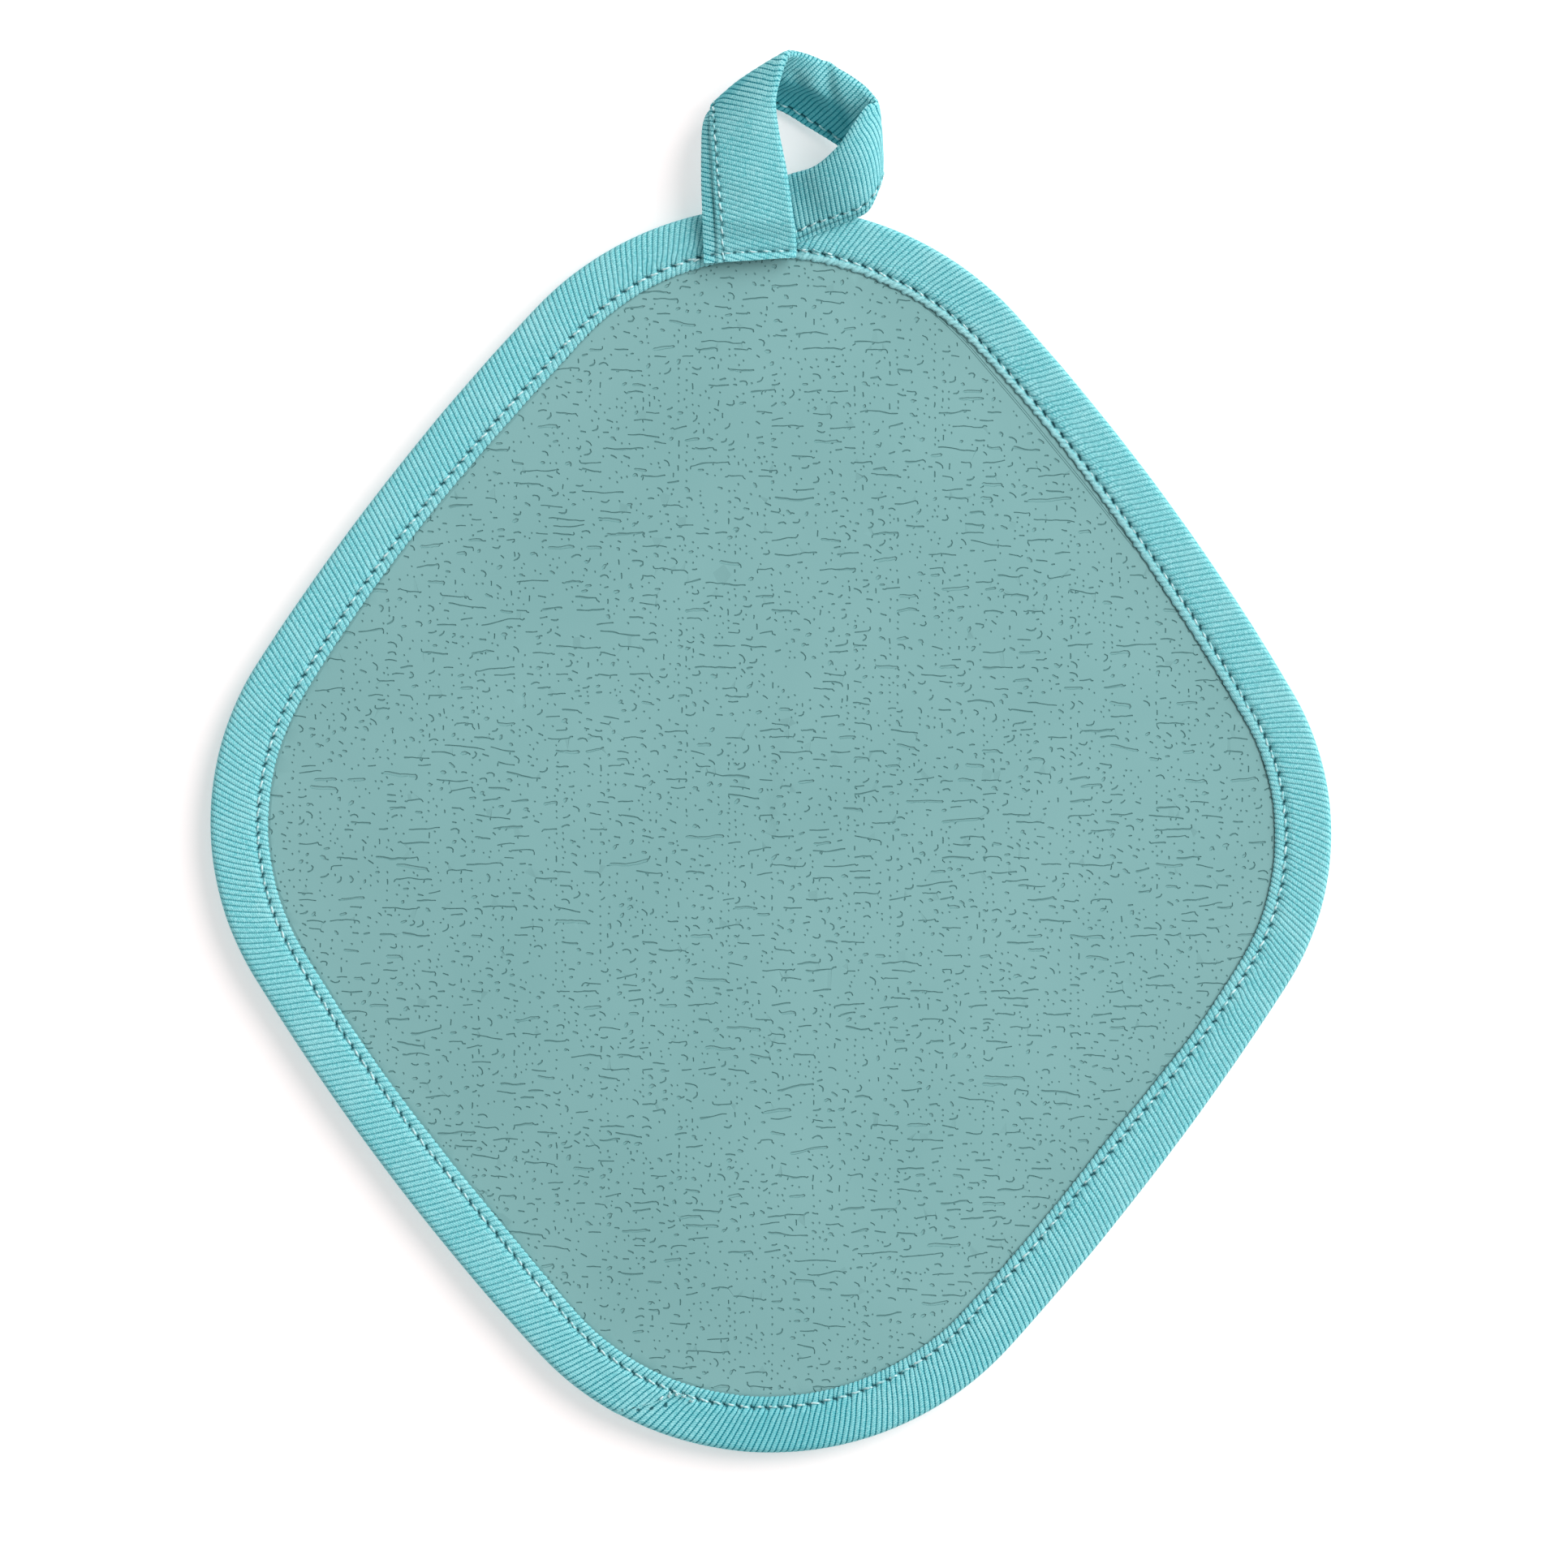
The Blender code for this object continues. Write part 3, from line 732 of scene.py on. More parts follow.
# The folded strip in cross-section, from the upper flap's edge over the rim to the lower flap's
# edge and back inside. A place measured from the flap's edge moves with the binding's width.
# out and up share the lift where the ends lap, ribs is how much the ribs stand up there, and
# steps is how many faces reach the next place.
SECTION_COLUMNS = ("place", "with_width", "inset", "height", "out", "up", "ribs", "steps")
SECTION = (
    ("edge, under", 1, -0.15, 4.34, 0.0, 1.0, 0.0, 1),
    ("edge", 1, 0.0, 4.55, 0.0, 1.0, 0.5, 1),
    ("edge, over", 1, -0.12, 4.84, 0.0, 1.0, 0.8, 1),
    ("strip, inner side", 1, -0.42, 5.02, 0.0, 1.0, 1.0, 2),
    ("strip", 1, -1.15, 5.1, 0.0, 1.0, 1.0, 2),
    ("row, inner side", 1, -1.63, 5.08, 0.0, 1.0, 0.8, 1),
    ("stitched row", 1, -1.85, 5.05, 0.0, 1.0, 0.7, 1),
    ("row, outer side", 1, -2.07, 5.12, 0.0, 1.0, 0.8, 1),
    ("past the row", 1, -2.45, 5.26, 0.0, 1.0, 1.0, 1),
    ("rise", 1, -3.1, 5.4, 0.0, 1.0, 1.0, 4),
    ("crown", 0, 4.4, 5.52, 0.0, 1.0, 1.0, 3),
    ("shoulder", 0, 1.3, 5.52, 0.1, 1.0, 1.0, 2),
    ("rim, over", 0, 0.32, 5.32, 0.3, 0.7, 1.0, 1),
    ("rim, high", 0, 0.04, 4.7, 0.5, 0.3, 1.0, 1),
    ("rim", 0, 0.0, 2.8, 0.5, 0.0, 1.0, 1),
    ("rim, low", 0, 0.3, 1.45, 0.5, 0.0, 1.0, 1),
    ("rim, under", 0, 1.1, 0.45, 0.5, 0.0, 0.8, 1),
    ("lower flap", 0, 2.8, 0.09, 0.0, 0.0, 0.6, 2),
    ("lower edge", 1, -0.6, 0.09, 0.0, 0.0, 0.6, 1),
    ("lower edge, inside", 1, -0.6, 0.8, 0.0, 0.0, 0.0, 1),
    ("inside, low", 0, 2.9, 0.9, 0.0, 0.0, 0.0, 1),
    ("inside, rim", 0, 1.0, 2.7, 0.0, 0.0, 0.0, 1),
    ("inside, high", 0, 2.9, 4.5, 0.0, 0.0, 0.0, 1),
)


def bell(distance, reach):
    return np.exp(-((distance / reach) ** 2))


def catmull_rom(before, start, end, after, share):
    """Value between start and end on a smooth curve through all four."""
    return 0.5 * (
        2 * start
        + (end - before) * share
        + (2 * before - 5 * start + 4 * end - after) * share**2
        + (3 * start - before - 3 * end + after) * share**3
    )


def section_points(table):
    """The table's places with smooth steps between them, round the closed section."""
    rows = np.array([row[1:-1] for row in table], float)
    count = len(rows)
    found = []
    for i, row in enumerate(table):
        four = [rows[(i + k) % count] for k in (-1, 0, 1, 2)]
        found += [catmull_rom(*four, step / row[-1]) for step in range(row[-1])]
    return np.array(found)


def row_in(distance):
    return round_table(ROW, 2, *outline_at(distance))


def corner_distance(degrees):
    """Distance along the outline of the point in this direction from the bottom corner's centre."""
    _, _, radius, start, _ = ARCS[BOTTOM_ARC]
    return ARC_STARTS[BOTTOM_ARC] + radius * ((math.radians(degrees) - start) % math.tau)


JOIN_DISTANCE = corner_distance(JOIN_OUTER_DEG)


def behind_join(distance, inset, width):
    """How far behind the upper end's slanted edge a place is. Below zero it is past the edge."""
    edge = JOIN_DISTANCE + JOIN_SLANT * inset / width
    return np.mod(edge - distance + PERIMETER / 2, PERIMETER) - PERIMETER / 2


def join_lift(distance, inset, width):
    behind = behind_join(distance, inset, width)
    lift = smooth(behind / JOIN_STEP) * (1 - smooth((behind - JOIN_LAP) / JOIN_FADE))
    return np.where((behind > 0) & (behind < JOIN_LAP + JOIN_FADE), lift, 0.0) * JOIN_LIFT


# The stitched row's own length sets where the needle went through.
row_distance = np.linspace(0.0, PERIMETER, 4001)
row_width = binding_width(row_distance)
row_x, row_y = outline_at(row_distance, row_width - row_in(row_distance))
row_length = np.concatenate([[0.0], np.cumsum(np.hypot(np.diff(row_x), np.diff(row_y)))])
stitch_count = round(row_length[-1] / STITCH_PITCH)
row_stitch = row_length / row_length[-1] * stitch_count


def stitch_phase(distance):
    """Number of stitches from the start of the row to this distance along the outline."""
    return np.interp(np.mod(distance, PERIMETER), row_distance, row_stitch)


section = section_points(SECTION)
section_count = len(section)
with_width, inset_part, height_part, out_part, up_part, rib_part = section.T
rib_part = np.clip(rib_part, 0.0, 1.0)
mean_inset = with_width * 10.0 + inset_part
go_in = np.diff(mean_inset, append=mean_inset[0])
go_up = np.diff(height_part, append=height_part[0])
steps = np.hypot(go_in, go_up)
developed = np.concatenate([[0.0], np.cumsum(steps)[:-1]])
places = [row[0] for row in SECTION]
at_row = sum(row[-1] for row in SECTION[: places.index("stitched row")])
at_rim = sum(row[-1] for row in SECTION[: places.index("rim")])

# The mesh's own lines lie along the ribs, so a rib takes only a few points across.
rib_count = round(PERIMETER * math.cos(math.radians(RIB_SLANT_DEG)) / RIB_PITCH)
rib_share = np.array([row[0] for row in RIB])
station_phase = (np.arange(rib_count)[:, None] + rib_share[None, :]).ravel()
station_count = len(station_phase)
slant = math.tan(math.radians(RIB_SLANT_DEG))
station = station_phase[:, None] * PERIMETER / rib_count
distance = station - slant * (developed[None, :] - developed[at_row])
on_top = (np.arange(section_count) < at_rim)[None, :]


def section_inset(distance):
    """Inset of the section's places, those measured from the flap's edge moved with the row."""
    nearer = np.where(on_top & (with_width > 0.5), row_in(distance) / ROW_USUAL, 1.0)
    return with_width * binding_width(distance) + inset_part * nearer


inset = section_inset(distance)
from_row = inset - (binding_width(distance) - row_in(distance))

# Stitches draw the cloth together along the row, and the join drags the ribs towards it.
sway = np.sin(math.tau * stitch_phase(distance)) * np.exp(-np.abs(from_row) / GATHER_REACH)
distance = distance - GATHER * sway * on_top
width = binding_width(distance)
past_join = -behind_join(distance, inset, width)
outer_share = np.clip((width - inset) / width, 0.0, 1.0)
dragged = np.exp(-np.clip(past_join, 0, None) / JOIN_DRAG_REACH)
dragged = np.where(past_join > -1.0, dragged, 0.0)
distance = distance - JOIN_DRAG * dragged * smooth(past_join + 1.0) * outer_share**1.5
width = binding_width(distance)
wave = np.cos(math.tau * stitch_phase(distance))
rope = round_table(ROW, 3, *outline_at(distance))
rib_bulge = np.cos(math.tau * (station_phase[:, None] - 0.5))
edge_share = smooth(from_row - 0.5) * on_top
scallop = (EDGE_SCALLOP * rib_bulge - ROPE_SCALLOP * rope * wave) * edge_share
inset = section_inset(distance) + scallop
x, y = outline_at(distance, inset)

# Needle holes and crevices between the rope's lumps: sunk in the mesh, with painted shade.
aslant = from_row + (0.2 - 0.12 * rope) * np.sin(math.tau * stitch_phase(distance))
hole = bell(aslant, HOLE_HALF * (1 - 0.2 * rope)) * smooth((wave - 0.1 + 0.3 * rope) / 0.5)
strip = smooth((from_row - 0.1) / 0.5) * on_top
between = 0.5 - 0.5 * wave
lump = 0.5 + 0.5 * np.cos(math.tau * (2 * stitch_phase(distance) - from_row / 1.3))
hole = np.maximum(hole, ROPE_CREVICE_SHADE * rope * strip * smooth((0.3 - lump) / 0.3))
raised = -ROW_GROOVE * bell(from_row, 0.5) - HOLE_DEPTH * hole
raised += PUCKER * (between - 0.5) * np.exp(-np.abs(np.abs(from_row) - 0.7) / 0.9)
raised += rope * strip * (ROPE_RISE * between + ROPE_LUMP * lump - ROPE_SINK)
raised = (raised + UNEVEN * soft_noise(x, y, UNEVEN_SIZE, 1.0)) * on_top
hole = hole * on_top

# Painted shade on the flap's edge, the section's first two places, where it stands off the face.
EDGE_PAINTED_SHADE = 0.9
edge_gap_shade = round_table(BINDING_ROUND, 4, *outline_at(distance))
hole[:, :2] = EDGE_PAINTED_SHADE * edge_gap_shade[:, :2]

rib_height = np.tile([row[1] for row in RIB], rib_count)[:, None] * RIB_HEIGHT / 2
height = height_part + np.zeros_like(inset)
turn_in = np.roll(inset, -1, axis=1) - np.roll(inset, 1, axis=1)
turn_up = np.roll(height, -1, axis=1) - np.roll(height, 1, axis=1)
size = np.hypot(turn_in, turn_up) + 1e-9
raised = raised + rib_height * rib_part * (1 - ROPE_SMOOTHS_RIBS * strip * rope)
raised = np.where(height_part < 0.3, np.minimum(raised, 0.0), raised)
lift = join_lift(distance, inset, width)
inset = inset + raised * turn_up / size - out_part * lift
height = np.maximum(height - raised * turn_in / size + up_part * lift, 0.02)
x, y = outline_at(distance, inset)
points = np.stack([x, y, height], axis=-1).reshape(-1, 3)

k = np.arange(station_count)[:, None]
j = np.arange(section_count)[None, :]
ahead = (k + 1) % station_count
beside = (j + 1) % section_count
quads = np.stack(
    [
        k * section_count + j,
        k * section_count + beside,
        ahead * section_count + beside,
        ahead * section_count + j,
    ],
    axis=-1,
).reshape(-1, 4)

# Cotton twill, woven and piece-dyed: ribs of soft yarn with narrow valleys between them and a row
# of pores along each valley, both darkened with painted shade, fine slanting yarns across each rib
# and a little fuzz. Where the yarns are bunched past the stitched row the ribs fade, and the cloth
# is a little paler: partly the yarns' own tone, partly painted light on a strip facing away from
# the lamp.
twill, tree, shader = new_material("cotton_twill", 0.9, sheen=0.06)
shader.inputs["Specular IOR Level"].default_value = 0.15
PORE_PITCH = 0.42  # real pores are 0.3 mm apart, drawn a little wider so that they show
place = add_node(tree, "TexCoord").outputs["Object"]
uv = add_node(tree, "UVMap", uv_map="ribs_and_mm")
parts = add_node(tree, "SeparateXYZ", [uv])
bunched = add_node(tree, "Attribute", attribute_name="bunched").outputs["Fac"]
painted_hole_shade = add_node(tree, "Attribute", attribute_name="hole").outputs["Fac"]
fuzz = add_node(tree, "TexNoise", {"Vector": place, "Scale": 2500.0, "Detail": 3.0})
patches = add_node(tree, "TexNoise", {"Vector": place, "Scale": 150.0, "Detail": 3.0})

# Painted shade in the valleys between the ribs, and in the pores along them.
rib_turn = add_node(tree, "Math", (parts.outputs["X"], math.tau), operation="MULTIPLY")
rib_wave = add_node(tree, "Math", [rib_turn], operation="COSINE")
valley = add_node(tree, "MapRange", (rib_wave, 0.4, 0.95), interpolation_type="SMOOTHSTEP")
pore_scale = math.tau / PORE_PITCH
pore_turn = add_node(tree, "Math", (parts.outputs["Y"], pore_scale), operation="MULTIPLY")
pore_turn = add_node(tree, "Math", (fuzz, 3.0, pore_turn), operation="MULTIPLY_ADD")
pore_wave = add_node(tree, "Math", [pore_turn], operation="SINE")
pore = add_node(tree, "Math", (pore_wave, 0.32, 0.68), operation="MULTIPLY_ADD")
shaded = add_node(tree, "Math", (valley, pore), operation="MULTIPLY")
both_turns = add_node(tree, "Math", (rib_turn, pore_turn), operation="ADD")
yarn = add_node(tree, "Math", [both_turns], operation="SINE")
unbunched = add_node(tree, "Math", (1.0, bunched), operation="SUBTRACT")
valleys_and_painted_shade = add_node(tree, "Math", (shaded, unbunched), operation="MULTIPLY")
light = add_node(tree, "Math", (yarn, 0.14, fuzz), operation="MULTIPLY_ADD")

# The ribs' tone: lighter along the slanting yarns, paler where the cloth is worn, paler where
# bunched, partly as painted light, and deeper with painted shade on the binding's bottom corner
# and the loop's top strand.
pale = linear("#B4E6E8")
lit = add_node(tree, "MapRange", (light, 0.33, 0.7), interpolation_type="SMOOTHSTEP")
body = {0: lit, 6: linear("#68C2C9"), 7: linear("#A2E6EB")}
body = add_node(tree, "Mix", body, data_type="RGBA")
worn = add_node(tree, "MapRange", (patches, 0.4, 0.75), interpolation_type="SMOOTHSTEP")
worn = add_node(tree, "Math", (worn, 0.2), operation="MULTIPLY")
body = add_node(tree, "Mix", {0: worn, 6: body, 7: pale}, data_type="RGBA")
# Paler where bunched: the yarns' own tone, and painted light on a strip facing away from the lamp.
bunched_pale_and_painted_light = add_node(tree, "Math", (bunched, 0.5), operation="MULTIPLY")
body = add_node(tree, "Mix", {0: bunched_pale_and_painted_light, 6: body, 7: pale}, data_type="RGBA")
# Painted shade and light: high values darken the valleys and deepen the tone, below zero they fade.
stretched = add_node(tree, "Attribute", attribute_name="stretched").outputs["Fac"]
deeper_painted_shade = add_node(tree, "MapRange", (stretched, 0.65, 1.0), interpolation_type="SMOOTHSTEP")
deeper_painted_shade = add_node(tree, "Math", (deeper_painted_shade, 0.65), operation="MULTIPLY")
body = add_node(tree, "Mix", {0: deeper_painted_shade, 6: body, 7: linear("#3FAFBA")}, data_type="RGBA")
valley_shade_share = add_node(tree, "Math", (stretched, 0.9, 0.85), operation="MULTIPLY_ADD")
shown_valley_shade = add_node(tree, "Math", (valleys_and_painted_shade, valley_shade_share), operation="MULTIPLY", use_clamp=True)
# Painted shade in the valleys, towards a deep teal.
ribbed = add_node(tree, "Mix", {0: shown_valley_shade, 6: body, 7: linear("#0E7E8D")}, data_type="RGBA")

# Painted shade of small dents where the join's end was stitched down; the dents are in colour only.
for dent_x, dent_y in JOIN_DENTS:
    dent_place = (dent_x * MM, dent_y * MM, JOIN_DENT_HEIGHT * MM)
    apart = add_node(tree, "VectorMath", (place, dent_place), operation="DISTANCE").outputs["Value"]
    ragged = add_node(tree, "Math", (fuzz, 0.9 * MM, apart), operation="MULTIPLY_ADD")
    dent_painted_shade = (ragged, 1.0 * MM, 0.65 * MM)  # the larger one first, so it is 1 inside and 0 outside
    dent_painted_shade = add_node(tree, "MapRange", dent_painted_shade, interpolation_type="SMOOTHSTEP")
    dent_painted_shade = add_node(tree, "Math", (dent_painted_shade, 0.85), operation="MULTIPLY")
    painted_hole_shade = add_node(tree, "Math", (painted_hole_shade, dent_painted_shade), operation="MAXIMUM")
# Painted shade in needle holes, crevices, dents and on the flap's edge, towards a dark teal.
colour = add_node(tree, "Mix", {0: painted_hole_shade, 6: ribbed, 7: linear("#0B4C57")}, data_type="RGBA")
tree.links.new(colour.outputs[2], shader.inputs["Base Color"])
pile = add_node(tree, "Math", (valleys_and_painted_shade, -1.2, light), operation="MULTIPLY_ADD")
relief = add_node(tree, "Bump", {"Height": pile, "Strength": 0.7, "Distance": 0.08 * MM})
tree.links.new(relief.outputs["Normal"], shader.inputs["Normal"])


def add_rib_map(piece, ribs, along):
    """The piece's UV map: ribs counted one way and millimetres along the rib the other."""
    layer = piece.data.uv_layers.new(name="ribs_and_mm")
    layer.data.foreach_set("uv", np.stack([ribs, along], axis=-1).astype(np.float32).ravel())


twill_binding = link_piece("twill_binding", points, quads.tolist(), twill, 60.0)
here = station_phase[:, None] + 0 * j
there = np.append(station_phase[1:], rib_count)[:, None] + 0 * j
along_rib = np.append(developed, developed[-1] + steps[-1]) / math.cos(math.radians(RIB_SLANT_DEG))
first = along_rib[:-1][None, :] + 0 * k
second = along_rib[1:][None, :] + 0 * k
add_rib_map(
    twill_binding,
    np.stack([here, here, there, there], axis=-1),
    np.stack([first, second, second, first], axis=-1),
)
add_values(twill_binding, "hole", hole)
add_values(twill_binding, "bunched", strip * rope)
add_values(twill_binding, "stretched", round_table(ROW, 5, x, y))
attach(twill_binding, "root")
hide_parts("binding")


# ---- Binding stitches -----------------------------------------------------------------------
# One row of lockstitches in spun polyester thread, a little paler than the cloth. Each stitch
# lies on the cloth from hole to hole, slightly aslant, and its ends go down into the holes.

THREAD_RADIUS = 0.2
THREAD_SIDES = 6

# Spun polyester sewing thread: two plies twisted together, a slight sheen, nearly white in light.
thread, tree, shader = new_material("polyester_sewing_thread", 0.6, sheen=0.1)
place = add_node(tree, "TexCoord").outputs["Object"]
plies = add_node(tree, "TexNoise", {"Vector": place, "Scale": 1700.0, "Detail": 2.0})
tones = add_node(tree, "MapRange", (plies, 0.35, 0.65), interpolation_type="SMOOTHSTEP")
tones = {0: tones, 6: linear("#77C3C8"), 7: linear("#DAF2F3")}
tones = add_node(tree, "Mix", tones, data_type="RGBA")
tree.links.new(tones.outputs[2], shader.inputs["Base Color"])
relief = add_node(tree, "Bump", {"Height": plies, "Strength": 0.5, "Distance": 0.06 * MM})
tree.links.new(relief.outputs["Normal"], shader.inputs["Normal"])


def thread_piece(name, strands, radius=THREAD_RADIUS):
    """Round threads along lines of points, closed at both ends, as one mesh."""
    vertices = []
    faces = []
    for strand in strands:
        line = np.array(strand)
        way = np.gradient(line, axis=0)
        way /= np.linalg.norm(way, axis=1)[:, None]
        side = np.cross(way, (0.0, 0.0, 1.0))
        side /= np.linalg.norm(side, axis=1)[:, None] + 1e-9
        rise = np.cross(side, way)
        start = len(vertices)
        last = len(line) - 1
        for index, (p, s, r) in enumerate(zip(line, side, rise)):
            full = radius * (0.55 if index in (0, last) else 1.0)
            for turn in np.arange(THREAD_SIDES) / THREAD_SIDES * math.tau:
                vertices.append(p + full * (math.cos(turn) * s + math.sin(turn) * r))
        for index in range(last):
            here = start + index * THREAD_SIDES
            for m in range(THREAD_SIDES):
                n = (m + 1) % THREAD_SIDES
                faces.append((here + m, here + n, here + THREAD_SIDES + n, here + THREAD_SIDES + m))
        end = start + last * THREAD_SIDES
        faces.append(tuple(start + m for m in reversed(range(THREAD_SIDES))))
        faces.append(tuple(end + m for m in range(THREAD_SIDES)))
    return link_piece(name, vertices, faces, thread, 70.0)


STITCH_SHAPE_COLUMNS = ("share_of_pitch", "sideways", "height")
STITCH_SHAPE = (
    (0.20, 0.11, -0.40),
    (0.26, 0.09, -0.06),
    (0.36, 0.05, 0.09),
    (0.50, 0.0, 0.13),
    (0.64, -0.05, 0.09),
    (0.75, -0.09, -0.05),
    (0.81, -0.11, -0.38),
)
ROW_BED = SECTION[places.index("stitched row")][3] - ROW_GROOVE
THREAD_ON_CLOTH = 0.08
TUFT_HEIGHT = 5.95


def row_stitches():
    strands = []
    for number in range(stitch_count):
        shift = draw.uniform(-0.05, 0.05)
        lean = draw.uniform(0.6, 1.8)
        aside = draw.uniform(-0.06, 0.1)
        strand = []
        for share, sideways, rise in STITCH_SHAPE:
            at = float(np.interp(number + share + shift, row_stitch, row_distance))
            wide = float(binding_width(at))
            inward = wide - float(row_in(at)) + lean * sideways + aside
            x, y = outline_at(at, inward)
            lifted = float(join_lift(at, inward, wide))
            uneven = UNEVEN * noise.noise(Vector((x / UNEVEN_SIZE, y / UNEVEN_SIZE, 1.0)))
            level = ROW_BED + THREAD_ON_CLOTH + uneven + lifted + rise
            level -= float(round_table(ROW, 4, *outline_at(at)))
            strand.append((float(x), float(y), level))
        strands.append(strand)
    return strands


# Where the binding's ends are lapped, the row starts and stops with loose tufts of thread.
JOIN_TUFTS = ((-19.8, -103.1), (-17.0, -102.3), (-14.3, -103.5), (-18.3, -102.5), (-15.8, -102.7))


def join_tufts():
    strands = []
    for x, y in JOIN_TUFTS:
        for _ in range(3):
            turn = draw.uniform(0, math.tau)
            reach = draw.uniform(0.3, 0.6)
            a, b = math.cos(turn) * reach, math.sin(turn) * reach
            top = TUFT_HEIGHT + draw.uniform(-0.1, 0.15)
            strands.append([(x - a, y - b, top - 0.35), (x, y, top), (x + a, y + b, top - 0.3)])
    return strands


binding_thread = thread_piece("binding_thread", row_stitches() + join_tufts())
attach(binding_thread, "root")


# ---- Hanging loop ---------------------------------------------------------------------------
# A strap of the same twill, folded lengthwise so that its lower layer stands out past the upper
# one, stitched along that open edge, bent over twice and sewn to the binding at the top corner.

STRAP_THICKNESS = 1.4
STRAP_USUAL_WIDTH = 13.5
STRAP_COLUMNS = (
    "place", "open_x", "open_y", "open_z", "fold_x", "fold_y", "fold_z", "bow", "ledge", "bend",
)
STRAP = (
    ("upper end", -12.1, 102.6, 8.1, 4.6, 103.7, 8.1, 0.0, 2.3, 0.0),
    ("sewn row", -12.2, 105.6, 8.1, 4.7, 106.2, 8.3, 0.1, 2.3, 0.0),
    ("left strand on the binding", -12.4, 111.4, 8.3, 4.1, 111.6, 8.9, 0.4, 2.2, 0.0),
    ("left strand low", -12.6, 117.4, 8.4, 3.0, 119.2, 10.1, 0.7, 2.0, 0.0),
    ("left strand high", -12.6, 122.8, 8.1, 1.6, 126.4, 10.8, 0.8, 1.8, 0.0),
    ("before the first fold", -12.5, 126.6, 7.2, 1.0, 132.0, 11.4, 0.8, 1.7, 0.0),
    ("first fold, upper", -12.1, 128.7, 5.9, 2.0, 136.6, 11.6, 0.8, 1.5, 0.0),
    ("first fold, outermost", -11.3, 129.9, 4.2, 3.3, 140.4, 11.0, 0.9, 1.2, 0.0),
    ("first fold, lower", -9.5, 130.3, 2.5, 4.9, 140.9, 9.3, 0.2, 0.9, 0.2),
    ("top strand, hidden start", -5.3, 130.8, 1.6, 7.4, 140.3, 9.2, -0.4, 0.7, 0.8),
    ("top strand", 1.0, 130.6, 1.4, 10.7, 138.8, 9.6, -0.6, 0.6, 1.2),
    ("top strand middle", 6.7, 127.4, 1.4, 14.0, 137.0, 9.9, -0.6, 0.6, 1.2),
    ("top strand far", 12.3, 124.0, 1.6, 16.7, 135.1, 10.2, -0.5, 0.6, 0.8),
    ("before the second fold", 16.8, 120.7, 2.3, 18.2, 133.5, 10.6, -0.4, 0.6, 0.3),
    ("second fold, outermost", 19.4, 118.3, 4.0, 19.0, 131.8, 11.7, 0.3, 0.7, 0.0),
    ("second fold, upper", 19.8, 116.6, 5.4, 17.4, 131.2, 12.9, 0.8, 0.8, 0.0),
    ("right strand start", 19.0, 114.2, 6.3, 15.0, 127.9, 13.3, 1.3, 0.9, 0.0),
    ("right strand", 17.2, 111.6, 6.6, 12.1, 123.8, 12.6, 1.5, 1.0, 0.0),
    ("right strand low", 13.3, 110.0, 6.5, 8.0, 120.3, 10.6, 1.3, 1.0, 0.0),
    ("right strand, going under", 8.4, 107.8, 6.45, 3.0, 118.6, 7.8, 0.5, 0.9, 0.0),
    ("hidden, under the left strand", 3.8, 105.7, 6.4, -4.0, 115.4, 6.5, 0.0, 0.8, 0.0),
    ("hidden turn", 0.6, 104.4, 6.4, -8.6, 111.0, 6.4, 0.0, 0.8, 0.0),
    ("lower end", -1.6, 103.4, 6.4, -10.2, 105.2, 6.4, 0.0, 0.8, 0.0),
)

# How the ribs run as seen from above, in degrees from +X, near the strap's open and folded edge.
STRAP_RIBS_COLUMNS = ("place", "side", "open_deg", "fold_deg")
STRAP_RIBS = (
    ("upper end", 1, -19.0, -19.0),
    ("left strand on the binding", 1, -18.0, -18.0),
    ("left strand low", 1, -16.0, -13.0),
    ("left strand high", 1, -13.0, -9.0),
    ("before the first fold", 1, -9.0, -12.0),
    ("top strand, hidden start", -1, 41.0, 52.0),
    ("top strand", -1, 41.0, 47.0),
    ("top strand middle", -1, 41.0, 42.0),
    ("top strand far", -1, 42.0, 42.0),
    ("before the second fold", -1, 43.0, 43.0),
    ("right strand start", 1, -84.0, -52.0),
    ("right strand", 1, -84.0, -74.0),
    ("right strand low", 1, -82.0, -80.0),
    ("right strand, going under", 1, -83.0, -81.0),
)

# Creases of the top strand, where the bends crumple it: from a place and share of the way to the
# folded edge to another, with the depth (a trough seen from above) and half width in millimetres.
STRAP_CREASE_COLUMNS = ("start", "start_share", "end", "end_share", "depth", "half_width")
STRAP_CREASES = (
    ("top strand", 0.97, "top strand far", 0.4, 0.75, 1.3),
    ("top strand, hidden start", 0.75, "top strand middle", 0.35, 0.45, 1.1),
    ("top strand", 0.66, "top strand middle", 0.62, -0.3, 1.0),
)
STRAP_STEP = 0.19
STRAP_RIB_PITCH = 0.88
STRAP_RIB_HEIGHT = 0.17
STRAP_ROW_IN = 1.24
STRAP_UNDER_ROW_IN = 1.5
STRAP_STITCH_PITCH = 2.25
STRAP_ROW_GROOVE = 0.12
STRAP_HOLE_DEPTH = 0.3
STRAP_HOLE_HALF = 0.24
STRAP_PUCKER = 0.05
LEDGE_GROOVE = 0.16
LEDGE_GROOVE_HALF = 0.22
LEDGE_PAINTED_SHADE = 0.55
LEDGE_PAINTED_SHADE_HALF = 0.16
FOLD_ROUND = 0.75
OPEN_ROUND = 0.35
LAYER_ROUND = 0.55
STRAP_UNEVEN = 0.18
STRAP_UNEVEN_SIZE = 6.0
STRAP_THREAD_RADIUS = 0.16
STRAP_THREAD_SUNK = 0.08
strap_places = [row[0] for row in STRAP]
strap_rows = np.array([row[1:] for row in STRAP])

